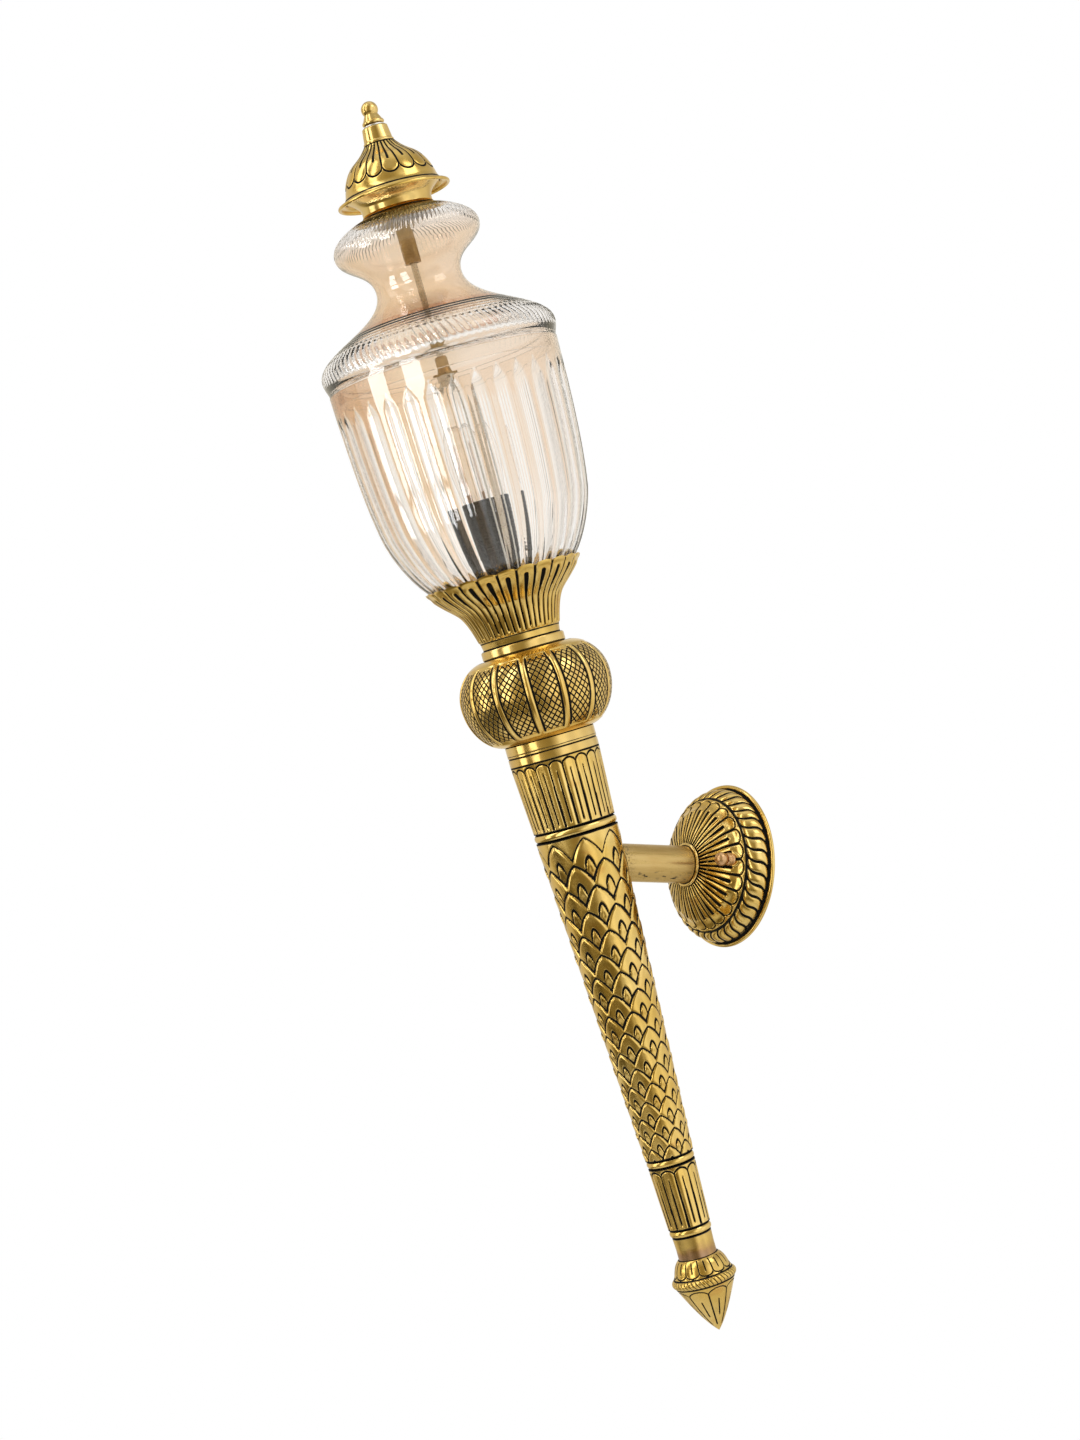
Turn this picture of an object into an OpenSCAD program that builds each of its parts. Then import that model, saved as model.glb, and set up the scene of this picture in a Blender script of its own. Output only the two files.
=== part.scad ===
// Torch wall sconce: a tapered brass torch held off the wall by a straight arm.
// The torch carries a fluted glass bowl in a petal cup, closed by a waisted glass lid and a brass cap.
// Origin: centre of the back plate's flat back, on the wall. The wall is y = 0 and the room is -Y, +Z is up.
// Torch pieces are drawn about the torch's own axis, with height 0 where the arm's axis meets it.
// All sizes are in millimetres.

/* [Placing] */
// Wall to the torch axis, measured along the arm
reach = 105; // [95:1:140]
// Lean of the torch, top away from the wall, in degrees
tilt = 17; // [10:0.5:18]

/* [Arm and back plate] */
// Outer radius of the arm tube
arm_r = 11.5; // [9:0.25:13]
// Wall of the arm tube
arm_wall = 1.5; // [1:0.1:2.5]
// Radius of the back plate's rim
plate_r = 50; // [48:0.5:60]
// Radius of the petal dome where the rope border starts
dome_r = 41; // [39:0.5:42.5]
// Depth of the petal dome's edge off the wall
dome_edge = 15.5; // [14:0.25:16]
// Depth of the back plate at the arm
plate_depth = 30; // [28:0.5:34]
// Wall of the cast back plate
plate_wall = 2.5; // [2:0.1:3]
// Distance of each ball nut from the arm axis
stud_x = 34; // [33:0.25:34.5]
// Number of petals on the dome
plate_petals = 24; // [16:1:28]
// Number of lobes on the rope border
rope_lobes = 40; // [28:1:48]
// Spacing of the two wall screws
screw_spacing = 50; // [48:1:51]
// Radius of the wall screw slots
screw_r = 2.25; // [1.75:0.25:2.5]

/* [Shaft] */
// Top of the scaled shaft above the arm axis
shaft_top = 17.3; // [16:0.1:24]
// Length of the scaled shaft
shaft_len = 200.3; // [150:0.1:215]
// Radius of the shaft at its top
shaft_r_top = 25.1; // [23:0.1:27]
// Radius of the shaft at its bottom
shaft_r_bottom = 14.7; // [13:0.1:18]
// Wall of the cast shaft and bands
cast_wall = 3; // [2:0.1:3.5]
// Scales round the shaft
scales = 8; // [6:1:12]
// Rows of scales
scale_rows = 17; // [10:1:20]
// Drop from a scale's tip to where its edges meet the next scale's, as a share of its row
scale_drop = 0.82; // [0.5:0.01:0.85]
// How far a scale's tip stands out
scale_lift = 0.9; // [0.3:0.1:1.2]

/* [Tail] */
// Height of the bead under the shaft
low_bead_h = 5; // [3:0.1:8]
// Height of the lower petal band
low_band_h = 38.4; // [25:0.1:45]
// Height of the bead under the lower band
tail_bead_h = 5.3; // [3:0.1:8]
// Height of the plain neck
neck_h = 13.3; // [8:0.1:20]
// Radius of the plain neck
neck_r = 12; // [10.5:0.1:13]
// Radius of the tail finial at its rope band
tail_r = 18.8; // [17:0.1:21]
// Height of the tail finial
tail_h = 47; // [40:0.5:60]

/* [Upper stem] */
// Height of the bead over the shaft
top_bead_h = 5.7; // [4:0.1:9]
// Height of the upper petal band
top_band_h = 42; // [30:0.5:50]
// Radius of the upper band at its top
top_band_r = 27.4; // [26:0.1:29]
// Petals round the upper band
top_petals = 20; // [14:1:24]
// Height of the plain collar
collar_h = 12.8; // [8:0.1:16]
// Height of the knop
knop_h = 52.6; // [44:0.1:60]
// Largest radius of the knop
knop_r = 46.4; // [42:0.1:52]
// Upright ribs on the knop
knop_ribs = 14; // [8:1:18]
// Height of the ring over the knop
ring_h = 6.1; // [4:0.1:9]

/* [Petal cup] */
// Height of the cup
cup_h = 41.5; // [38:0.1:44]
// Radius at the petal tips
cup_r = 48; // [47:0.1:50]
// Number of petals
cup_petals = 24; // [16:1:28]
// Wall of the cup
cup_wall = 1.8; // [1.2:0.1:2.2]

/* [Glass] */
// Radius of the bowl where the lid meets it
seam_r = 70.3; // [68:0.1:76]
// Height of the bowl from its foot to the seam
bowl_h = 138; // [130:0.5:160]
// Radius of the hole in the bowl's foot
foot_hole_r = 29; // [28.6:0.1:30]
// Glass thickness
glass = 3; // [2.4:0.1:3.4]
// Flutes cut in the bowl
flutes = 32; // [16:1:36]
// Depth of a flute
flute_depth = 0.8; // [0.4:0.1:1.2]
// Height of the lid
lid_h = 96.5; // [90:0.5:120]
// Radius of the lid's shoulder
shoulder_r = 72.2; // [71.5:0.1:80]
// Radius of the lid's waist
waist_r = 26.4; // [24:0.1:32]
// Radius of the lid's upper bulge
bulge_r = 44.9; // [40:0.1:50]

/* [Cap] */
// Radius of the seat where it stands on the glass
seat_r = 22.8; // [21:0.1:26]
// Radius of the cap's flared rim
cap_rim_r = 33.4; // [33:0.1:38]
// Height of the cap dome
cap_h = 32; // [30:0.5:38]
// Petals on the cap dome
cap_petals = 16; // [10:1:20]
// Height of the cone collar
cone_h = 10.5; // [8:0.1:14]
// Radius of the ball finial
ball_r = 5.1; // [4.6:0.1:7]

/* [Lamp] */
// Radius of the lampholder's skirt
holder_r = 18.7; // [18.4:0.1:19.5]
// Radius of the bulb's globe
globe_r = 22.5; // [18:0.25:23.5]
// Distance of each harp leg from the torch axis
harp_r = 26.4; // [26:0.1:26.6]
// Height of the harp
harp_h = 135.5; // [130:0.5:150]
// Turn of the harp's plane about the torch axis, in degrees
harp_turn = -15; // [-45:5:45]
// Radius of the rod that holds the lid down
rod_r = 2; // [1.5:0.1:2.2]
// Outer radius of the hollow tube up the stem
tube_r = 6.35; // [6:0.05:7]

/* [Fits] */
// Gap between parts that lift or turn past each other
gap = 0.3; // [0.2:0.05:0.5]
// Radial clearance of a thread or a turning fit
slip = 0.08; // [0.05:0.01:0.1]

/* [Hidden] */
$fn = 96;

// Heights above the arm axis, from the bottom of the torch to its top
low_bead_z = shaft_top - shaft_len - low_bead_h;
low_band_z = low_bead_z - low_band_h;
tail_bead_z = low_band_z - tail_bead_h;
neck_z = tail_bead_z - neck_h;
tail_z = neck_z - tail_h;
top_band_z = shaft_top + top_bead_h;
collar_z = top_band_z + top_band_h;
knop_z = collar_z + collar_h;
ring_z = knop_z + knop_h;
cup_z = ring_z + ring_h;
cup_top = cup_z + cup_h;
cup_floor = 4.5;
cup_foot_r = cup_r * 0.5;

// Stack on the tube inside the cup
seat_plate_t = 1.5;
gasket_t = 2;
foot_z = cup_top - 10;
seat_plate_z = foot_z - gasket_t - seat_plate_t;
saddle_t = 2;
saddle_w = 20;
saddle_z = seat_plate_z + seat_plate_t;
holder_nut_z = saddle_z + saddle_t;
holder_nut_h = 3;
holder_z = holder_nut_z + holder_nut_h;
holder_cap_h = 17;
holder_h = 52;
holder_wall = 2.2;
holder_floor = 3;
bulb_cap_r = 13.2;
bulb_cap_h = 26;
bulb_z = holder_z + holder_h - bulb_cap_h;
globe_z = holder_z + holder_h + globe_r + 3;
bulb_wall = 0.8;
tube_bore = 1.5;
tube_top = holder_z + 6;
tube_bottom = neck_z - tail_h * 0.32;

// Harp, rod and its nuts
wire_r = 1.5;
harp_z = saddle_z + saddle_t;
harp_top = saddle_z + harp_h;
pad_t = 3.5;
claw_t = 1.2;
lock_h = 3.2;
rod_nut_h = 10;

// Glass
seam_z = foot_z + bowl_h;
spigot_h = 7;
spigot_r = seam_r - glass - 1.6;
lid_top = seam_z + lid_h;
foot_r = foot_hole_r + 5.6;

// Cap
seat_wall = 1.4;
seat_h = 11.7;
nipple_r = 5;
nipple_bore = rod_r + 0.6;
nipple_below = 30.5;
washer_r = 12;
washer_t = 1.2;
nut_h = 4;
cap_z = lid_top + 10.1;
cap_top = cap_z + cap_h;
cap_hole = nipple_r + 0.4;
cone_top = cap_top + cone_h;
finial_washer_h = 1;
finial_z = cone_top + finial_washer_h;
flange_h = 3;
ball_z = finial_z + 4.5 + ball_r;
rod_top = ball_z - 1;

// Back plate
bracket_t = 2;
bracket_w = 20;
slot_len = 7;
bracket_end_r = 6;
bracket_end = stud_x + bracket_end_r;
stud_r = 2;
ball_nut_r = 4.2;
nut_neck_h = 4;
pad_r = 4.4;
entry_r = 5;
arm_nut_t = 4;
bore_r = arm_r - arm_wall;
lead_r = 2.5;
block_x = 9;
earth_x = -13;

// Columns of points across a scale
scale_steps = 6;

// Turn of each ring of ornament about the torch axis, in degrees
flute_turn = 2.2;
cap_turn = -5.3;
cup_turn = -1.5;
knop_turn = 11.9;
top_band_turn = 8.1;
scale_turn = 16.6;
low_band_turn = 0.8;

brass = "#b8922f";
glass_tint = [0.93, 0.80, 0.62, 0.45];

// ---- curves and helpers ----

// Points of a cubic curve from a to d, pulled towards b and c; the first point is left out
function curve(a, b, c, d, n = 6) = [
    for (i = [1:n])
        let (t = i / n, u = 1 - t)
        u * u * u * a + 3 * u * u * t * b + 3 * u * t * t * c + t * t * t * d
];

// Points of an arc round centre c; angles in degrees
function arc(c, r, from, to, n = 6) = [
    for (i = [0:n])
        let (w = from + (to - from) * i / n)
        c + r * [cos(w), sin(w)]
];

// A profile moved inwards by t along its own normals, for a profile that runs upwards
function inset(p, t) = [
    for (i = [0:len(p) - 1])
        let (d = p[min(i + 1, len(p) - 1)] - p[max(i - 1, 0)], l = norm(d))
        p[i] - t * [d.y, -d.x] / l
];

function reversed(p) = [for (i = [len(p) - 1:-1:0]) p[i]];

// Part of a profile between two heights
function between(p, low, high) = [for (q = p) if (q.y >= low && q.y <= high) q];

// Puts a piece drawn about the torch axis in its place on the arm
module on_torch() {
    translate([0, -reach, 0]) rotate([tilt, 0, 0]) children();
}

// Puts a piece drawn along +Z, with 0 at the wall, so that it stands out of the wall
module on_wall() {
    rotate([90, 0, 0]) children();
}

module ring(r_out, r_in, z, h) {
    translate([0, 0, z]) difference() {
        cylinder(r = r_out, h = h);
        translate([0, 0, -1]) cylinder(r = r_in, h = h + 2);
    }
}

// Hexagon nut by its distance across flats
module hex_nut(flats, r_in, z, h) {
    translate([0, 0, z]) difference() {
        cylinder(r = flats / sqrt(3), h = h, $fn = 6);
        translate([0, 0, -1]) cylinder(r = r_in, h = h + 2);
    }
}

// A bead: a disc with a rounded edge
module bead(r, r_in, z, h) {
    rotate_extrude() polygon(concat(
        [[r_in, z]],
        arc([r - h / 2, z + h / 2], h / 2, -90, 90, 8),
        [[r_in, z + h]]
    ));
}

// Upright grooves, cut as wedges of a revolve that follows the profile p
module grooves(p, count, degrees, depth, first = 0) {
    band = concat(inset(p, depth), reversed(inset(p, -2)));
    for (i = [0:count - 1])
        rotate([0, 0, first + i * 360 / count - degrees / 2])
            rotate_extrude(angle = degrees) polygon(band);
}

// Slanting grooves round an edge at radius r and height z, like the strands of a rope
module rope_cuts(count, r, z, lean, slant, cut_r, length) {
    for (i = [0:count - 1])
        rotate([0, 0, i * 360 / count])
            translate([r, 0, z])
                rotate([0, lean, 0])
                    rotate([slant, 0, 0])
                        cylinder(r = cut_r, h = length, center = true, $fn = 24);
}

// ---- glass ----

bowl_side = concat(
    [[foot_r, foot_z], [foot_r, foot_z + 2]],
    curve([foot_r, foot_z + 2], [seam_r * 0.711, foot_z + 8], [seam_r - 8.8, foot_z + 36],
        [seam_r - 6.6, foot_z + 48], 8),
    curve([seam_r - 6.6, foot_z + 48], [seam_r - 1.7, foot_z + 75], [seam_r - 0.7, seam_z - 26],
        [seam_r, seam_z], 6)
);

// Outside of the bowl as rings of points, four to a flute: ridge, edge, valley, edge.
// The valleys are sunk from near the foot up to flute_top, where each flute ends in a point.
module fluted_body() {
    places = [0, 0.2, 0.5, 0.8];
    flute_top = seam_z - 22;
    cols = flutes * 4;
    top = len(bowl_side) - 1;
    points = [
        for (p = bowl_side, i = [0:cols - 1])
            let (
                a = flute_turn + 360 / flutes * (floor(i / 4) + places[i % 4] - 0.5),
                sunk = i % 4 == 2 && p.y > foot_z + 4 && p.y < flute_top,
                r = p.x - (sunk ? flute_depth : 0)
            )
            [r * cos(a), r * sin(a), p.y]
    ];
    polyhedron(points, ring_faces(top + 1, cols));
}

// Faces of a closed body made of rings of points, one above the other
function ring_faces(rings, cols) = concat(
    [
        for (k = [0:rings - 2], i = [0:cols - 1])
            let (a = k * cols + i, b = k * cols + (i + 1) % cols)
            each [[a, b + cols, b], [a, a + cols, b + cols]]
    ],
    [[for (i = [0:cols - 1]) i]],
    [[for (i = [cols - 1:-1:0]) (rings - 1) * cols + i]]
);

module glass_bowl() {
    inner = between(inset(bowl_side, glass), foot_z + glass, seam_z - 1);
    color(glass_tint) on_torch() difference() {
        fluted_body();
        rotate_extrude() polygon(concat(
            [[0, foot_z - 1], [foot_hole_r, foot_z - 1], [foot_hole_r, foot_z + glass]],
            inner,
            [[seam_r - glass, seam_z - 0.5], [seam_r - glass, seam_z + 1], [0, seam_z + 1]]
        ));
    }
}

lid_side = concat(
    [[seam_r - 0.4, seam_z]],
    curve([seam_r - 0.4, seam_z], [seam_r - 0.3, seam_z + 3], [shoulder_r, seam_z + 6],
        [shoulder_r, seam_z + 10], 4),
    curve([shoulder_r, seam_z + 10], [shoulder_r, seam_z + 25.8], [waist_r, lid_top - 64.1],
        [waist_r, lid_top - 43.5], 12),
    curve([waist_r, lid_top - 43.5], [waist_r, lid_top - 29.2], [bulge_r, lid_top - 28.9],
        [bulge_r, lid_top - 17.3], 8),
    curve([bulge_r, lid_top - 17.3], [bulge_r, lid_top - 10.5], [seat_r + 14, lid_top - 5],
        [seat_r + 0.5, lid_top - 0.5], 7),
    [[seat_r - 1, lid_top]]
);

module glass_lid() {
    inner = between(inset(lid_side, glass), seam_z + 6, lid_top - glass);
    color(glass_tint) on_torch() rotate_extrude() polygon(concat(
        [[spigot_r - glass, seam_z - spigot_h], [spigot_r, seam_z - spigot_h], [spigot_r, seam_z]],
        lid_side,
        [[nipple_r + gap, lid_top], [nipple_r + gap, lid_top - glass], [seat_r - 6, lid_top - glass]],
        reversed(inner),
        [[spigot_r - glass, seam_z + 2]]
    ));
}

// ---- cap ----

seat_side = concat(
    [[seat_r, lid_top], [seat_r - 1.3, lid_top + 1.5], [seat_r - 1.3, lid_top + 4]],
    curve([seat_r - 1.3, lid_top + 4], [seat_r - 1.2, lid_top + 8], [cap_rim_r - 7.5, lid_top + 10.3],
        [cap_rim_r - 4.7, lid_top + seat_h], 6)
);

module cap_seat() {
    wall = inset(seat_side, seat_wall);
    color(brass) on_torch() rotate_extrude() polygon(concat(
        [[nipple_r, lid_top]], seat_side,
        reversed(between(wall, lid_top + 2, cap_top)),
        [[seat_r - 3, lid_top + seat_wall], [nipple_r, lid_top + seat_wall]]
    ));
}

cap_side = concat(
    [[cap_rim_r, cap_z]],
    curve([cap_rim_r, cap_z], [cap_rim_r - 2.7, cap_z + 1], [cap_rim_r - 4.6, cap_z + 3.8],
        [cap_rim_r - 5.2, cap_z + 6.2], 4),
    curve([cap_rim_r - 5.2, cap_z + 6.2], [cap_rim_r - 6.6, cap_z + 12.5],
        [cap_rim_r - 9.4, cap_z + 18.9], [cap_rim_r - 14.6, cap_z + 22.9], 6),
    curve([cap_rim_r - 14.6, cap_z + 22.9], [cap_rim_r - 18.4, cap_z + 25.6],
        [11.4, cap_top - 3.6], [9.6, cap_top], 5)
);

module cap_dome() {
    wall = inset(cap_side, seat_wall);
    petals = between(cap_side, cap_z + 6, cap_top - 2);
    darts = between(cap_side, cap_z + 6, cap_z + 19);
    color(brass) on_torch() difference() {
        union() {
            rotate_extrude() polygon(concat(
                cap_side, [[cap_hole, cap_top], [cap_hole, cap_top - seat_wall]],
                reversed(between(wall, cap_z, cap_top - seat_wall - 0.5))
            ));
            translate([0, 0, cap_z]) rotate_extrude() translate([cap_rim_r, 0]) circle(r = 1.1, $fn = 32);
        }
        grooves(petals, cap_petals, 3, 0.6, cap_turn + 180 / cap_petals);
        grooves(darts, cap_petals, 2.4, 0.5, cap_turn);
    }
}

module cap_collar() {
    color(brass) on_torch() rotate_extrude() polygon([
        [rod_r + 0.5, cap_top], [9.2, cap_top], [9.4, cap_top + 1.2], [8.8, cap_top + 2],
        [7.8, cone_top - 0.6], [7.2, cone_top], [rod_r + 0.5, cone_top]
    ]);
}

module finial_washer() {
    color("#d9d8d2") on_torch() ring(6, rod_r + 0.5, cone_top, finial_washer_h);
}

module finial_ball() {
    flange_r = ball_r + 1.6;
    neck = ball_r - 1;
    color(brass) on_torch() difference() {
        rotate_extrude() polygon(concat(
            [[0, finial_z]],
            arc([flange_r - flange_h / 2, finial_z + flange_h / 2], flange_h / 2, -90, 60, 8),
            arc([0, ball_z], ball_r, -asin(sqrt(1 - pow(neck / ball_r, 2))), 90, 12)
        ));
        translate([0, 0, finial_z - 1]) cylinder(r = rod_r + slip, h = rod_top + 0.5 - finial_z + 1);
    }
}

module seat_nut() {
    color(brass) on_torch() hex_nut(16, nipple_r, lid_top + seat_wall, nut_h);
}

module lid_nipple() {
    color(brass) on_torch()
        ring(nipple_r, nipple_bore, lid_top - nipple_below, nipple_below + seat_wall + nut_h + 3);
}

module lid_washer() {
    color("#d8d0bd") on_torch() ring(washer_r, nipple_r, lid_top - glass - washer_t, washer_t);
}

module lid_nut() {
    color(brass) on_torch() hex_nut(15, nipple_r, lid_top - glass - washer_t - nut_h, nut_h);
}

// ---- rod, harp and lamp ----

module tie_rod() {
    low = harp_top - pad_t - lock_h - 2;
    color("#cfcfca") on_torch() translate([0, 0, low]) cylinder(r = rod_r, h = rod_top - low);
}

// Two legs and a half-round arch of wire, with a flat eye on top for the rod
module harp() {
    leg = harp_top - pad_t / 2 - harp_r - harp_z;
    color("#c8c6bd") on_torch() rotate([0, 0, harp_turn]) difference() {
        union() {
            for (side = [-1, 1])
                translate([side * harp_r, 0, harp_z]) cylinder(r = wire_r, h = leg);
            translate([0, 0, harp_z + leg]) rotate([90, 0, 0]) rotate_extrude(angle = 180)
                translate([harp_r, 0]) circle(r = wire_r, $fn = 32);
            translate([0, 0, harp_top - pad_t]) cylinder(r = 5.5, h = pad_t);
        }
        translate([0, 0, harp_top - pad_t - 1]) cylinder(r = rod_r, h = pad_t + 2);
    }
}

module harp_saddle() {
    color("#c8c6bd") on_torch() rotate([0, 0, harp_turn]) translate([0, 0, saddle_z]) difference() {
        intersection() {
            translate([-harp_r - 5, -saddle_w / 2, 0]) cube([2 * harp_r + 10, saddle_w, saddle_t]);
            translate([0, 0, -1]) cylinder(r = harp_r + wire_r + 0.2, h = saddle_t + 2);
        }
        translate([0, 0, -1]) cylinder(r = tube_r, h = saddle_t + 2);
    }
}

// Four claws that grip the top of the harp
module claw_washer() {
    claw_r = 7.5;
    color(brass) on_torch() translate([0, 0, harp_top]) difference() {
        cylinder(r = claw_r, h = claw_t);
        translate([0, 0, -1]) cylinder(r = rod_r, h = claw_t + 2);
        for (i = [0:3])
            rotate([0, 0, 45 + 90 * i + harp_turn]) translate([claw_r, 0, -1]) cylinder(r = 4, h = claw_t + 2);
    }
}

module rod_nut() {
    color(brass) on_torch() translate([0, 0, harp_top + claw_t]) difference() {
        rotate_extrude() polygon([
            [0, 0], [4.6, 0], [3.8, 3], [3.8, rod_nut_h - 1], [3.2, rod_nut_h], [0, rod_nut_h]
        ]);
        translate([0, 0, -1]) cylinder(r = rod_r, h = rod_nut_h + 2);
    }
}

module rod_locknut() {
    color("#c8c6bd") on_torch() hex_nut(7, rod_r, harp_top - pad_t - lock_h, lock_h);
}

module bulb_globe() {
    foot = holder_z + holder_h - 4;
    neck = bulb_cap_r - 0.6;
    side = concat(
        [[neck, foot], [neck, foot + 4]],
        curve([neck, foot + 4], [neck + 0.5, foot + 8], [globe_r, globe_z - 12], [globe_r, globe_z], 8),
        arc([0, globe_z], globe_r, 6, 90, 14)
    );
    color([0.95, 0.95, 0.95, 0.3]) on_torch() rotate_extrude() polygon(concat(
        side, [[0, globe_z + globe_r - bulb_wall]],
        reversed(between(inset(side, bulb_wall), foot, globe_z + globe_r - bulb_wall - 0.2))
    ));
}

module bulb_cap() {
    top = holder_z + holder_h - 4;
    color("#c9c5b8") on_torch() rotate_extrude() polygon([
        [0, bulb_z], [4.5, bulb_z], [5, bulb_z + 2], [bulb_cap_r - 2, bulb_z + 5], [bulb_cap_r, bulb_z + 7],
        [bulb_cap_r, top], [0, top]
    ]);
}

// Glass stem with two upright filaments
module bulb_filament() {
    foot = holder_z + holder_h - 4;
    color("#e0b050") on_torch() translate([0, 0, foot]) {
        cylinder(r = 3, h = 10);
        for (side = [-1, 1])
            translate([side * 2, 0, 9]) cylinder(r = 0.6, h = globe_z + globe_r * 0.5 - foot - 9);
    }
}

module holder_skirt() {
    color("#26272a") on_torch()
        ring(holder_r, holder_r - holder_wall, holder_z + holder_cap_h, holder_h - holder_cap_h);
}

module holder_cap() {
    color("#26272a") on_torch() difference() {
        rotate_extrude() polygon([
            [0, holder_z], [12, holder_z], [16.5, holder_z + 3], [17, holder_z + 5],
            [17, holder_z + holder_cap_h], [0, holder_z + holder_cap_h]
        ]);
        translate([0, 0, holder_z + holder_floor]) cylinder(r = 14.8, h = holder_cap_h);
        translate([0, 0, holder_z - 1]) cylinder(r = tube_r, h = holder_floor + 2);
    }
}

// Brass shell that the bulb screws into
module holder_shell() {
    shell_r = holder_r - holder_wall;
    color(brass) on_torch() ring(shell_r, shell_r - 1, holder_z + holder_cap_h, holder_h - holder_cap_h - 2);
}

module holder_contact() {
    floor_z = holder_z + 12;
    color("#e8e4d8") on_torch() {
        ring(14.8, 4, floor_z, 4);
        translate([0, 0, floor_z]) cylinder(r = 4, h = bulb_z - floor_z);
    }
}

module holder_nut() {
    color(brass) on_torch() hex_nut(19, tube_r, holder_nut_z, holder_nut_h);
}

module bowl_gasket() {
    color("#8a8378") on_torch() ring(foot_r - 1, foot_hole_r, foot_z - gasket_t, gasket_t);
}

module bowl_seat() {
    color(brass) on_torch() ring(foot_hole_r + 2.6, tube_r, seat_plate_z, seat_plate_t);
}

module seat_spacer() {
    low = cup_z + cup_floor;
    color(brass) on_torch() ring(9.5, tube_r, low, seat_plate_z - low);
}

// ---- petal cup and stem ----

cup_side = concat(
    [[cup_foot_r, cup_z], [cup_foot_r + 0.6, cup_z + cup_h * 0.1]],
    curve([cup_foot_r + 0.6, cup_z + cup_h * 0.1], [cup_foot_r + 2.4, cup_z + cup_h * 0.27],
        [cup_foot_r + 4.5, cup_z + cup_h * 0.46], [cup_r * 0.667, cup_top - cup_h * 0.43], 5),
    curve([cup_r * 0.667, cup_top - cup_h * 0.43], [cup_r * 0.74, cup_top - cup_h * 0.33],
        [cup_r * 0.925, cup_top - cup_h * 0.17], [cup_r, cup_top], 6)
);

module petal_cup() {
    low = cup_z + cup_floor;
    wall = between(inset(cup_side, cup_wall), low, cup_top);
    petals = between(cup_side, cup_z + 3, cup_top + 1);
    slots = between(cup_side, cup_z + 3, cup_top - 4);
    color(brass) on_torch() difference() {
        rotate_extrude() polygon(concat(
            [[tube_r, cup_z]], cup_side, [[cup_r - cup_wall * 1.2, cup_top]],
            reversed(wall), [[wall[0].x, low], [tube_r, low]]
        ));
        grooves(petals, cup_petals, 1.8, 0.9, cup_turn + 180 / cup_petals);
        for (shift = [-2.6, 2.6])
            grooves(slots, cup_petals, 1.3, 0.6, cup_turn + shift);
        tip_notches();
    }
}

// Notches between the petals, which leave each tip rounded
module tip_notches() {
    width = 2 * PI * cup_r / cup_petals;
    for (i = [0:cup_petals - 1])
        rotate([0, 0, cup_turn + (i + 0.5) * 360 / cup_petals])
            translate([cup_r - 8, 0, cup_top])
                rotate([90, 0, 90])
                    linear_extrude(height = 16) polygon([[-width * 0.3, 1], [0, -width * 0.36], [width * 0.3, 1]]);
}

module cup_ring() {
    color(brass) on_torch() bead(cup_foot_r + 1.6, tube_r, ring_z, ring_h);
}

knop_side = concat(
    [[27.8, knop_z]],
    curve([27.8, knop_z], [knop_r - 8.4, knop_z + 2.2], [knop_r, knop_z + knop_h * 0.27],
        [knop_r, knop_z + knop_h * 0.55], 8),
    curve([knop_r, knop_z + knop_h * 0.55], [knop_r, knop_z + knop_h * 0.77],
        [knop_r - 7.4, ring_z - 2.4], [28.6, ring_z], 8)
);

// Hollow knop with upright ribs between sunk panels
module knop() {
    sunk = 0.8;
    rib_degrees = 5.5;
    panel = 360 / knop_ribs - rib_degrees;
    shell = inset(knop_side, cast_wall);
    middle = between(knop_side, knop_z + 5, ring_z - 5);
    color(brass) on_torch() difference() {
        rotate_extrude() polygon(concat(
            knop_side, [[22, ring_z], [22, ring_z - cast_wall]],
            reversed(between(shell, knop_z + cast_wall + 0.5, ring_z - cast_wall - 0.5)),
            [[22, knop_z + cast_wall], [22, knop_z]]
        ));
        grooves(middle, knop_ribs, panel, sunk, knop_turn + 180 / knop_ribs);
    }
}

module stem_collar() {
    r = 27.5;
    color(brass) on_torch() difference() {
        ring(r, tube_r, collar_z, collar_h);
        translate([0, 0, collar_z + collar_h * 0.42]) rotate_extrude()
            translate([r, 0]) circle(r = 0.7, $fn = 24);
    }
}

// Tapered band of upright petals with a line down the middle of each
module petal_band(r_low, r_high, z, h, count, bore, turn) {
    side = [[r_low, z], [r_high, z + h]];
    cut = [[r_low + (r_high - r_low) * 0.04, z + h * 0.04], [r_high - (r_high - r_low) * 0.06, z + h * 0.94]];
    dart = [cut[0], (cut[0] + 3 * cut[1]) / 4];
    difference() {
        rotate_extrude() polygon(concat([[bore, z]], side, [[bore, z + h]]));
        grooves(cut, count, 40 / count, 0.7, turn);
        grooves(dart, count, 24 / count, 0.5, turn + 180 / count);
    }
}

module upper_band() {
    color(brass) on_torch() difference() {
        petal_band(shaft_r_top - 0.1, top_band_r, top_band_z, top_band_h, top_petals, tube_r,
            top_band_turn);
        ring(shaft_r_top - cast_wall, tube_r + 2.5, top_band_z + cast_wall, top_band_h - 2 * cast_wall);
    }
}

module upper_bead() {
    color(brass) on_torch() bead(shaft_r_top + 0.4, tube_r, shaft_top, top_bead_h);
}

// Radius of the plain cone that the scales stand on, at height z
function cone_r(z) =
    shaft_r_bottom + (shaft_r_top - shaft_r_bottom) * (z - shaft_top + shaft_len) / shaft_len;

// Height of the tips of row k, counted from 0 at the top. Each row is as tall as its place is wide.
function tip_z(k) =
    let (r = shaft_r_top * pow(shaft_r_bottom / shaft_r_top, (k + 0.2) / scale_rows))
    shaft_top - shaft_len * (shaft_r_top - r) / (shaft_r_top - shaft_r_bottom);

// Share of a row's drop that a scale's edge has lost at x, from 0 at its tip to 1 where scales meet
function ogive(x) =
    let (bow = 1.8)
    1 - sqrt(bow * bow - (x + bow - 1) * (x + bow - 1)) / sqrt(2 * bow - 1);

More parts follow.
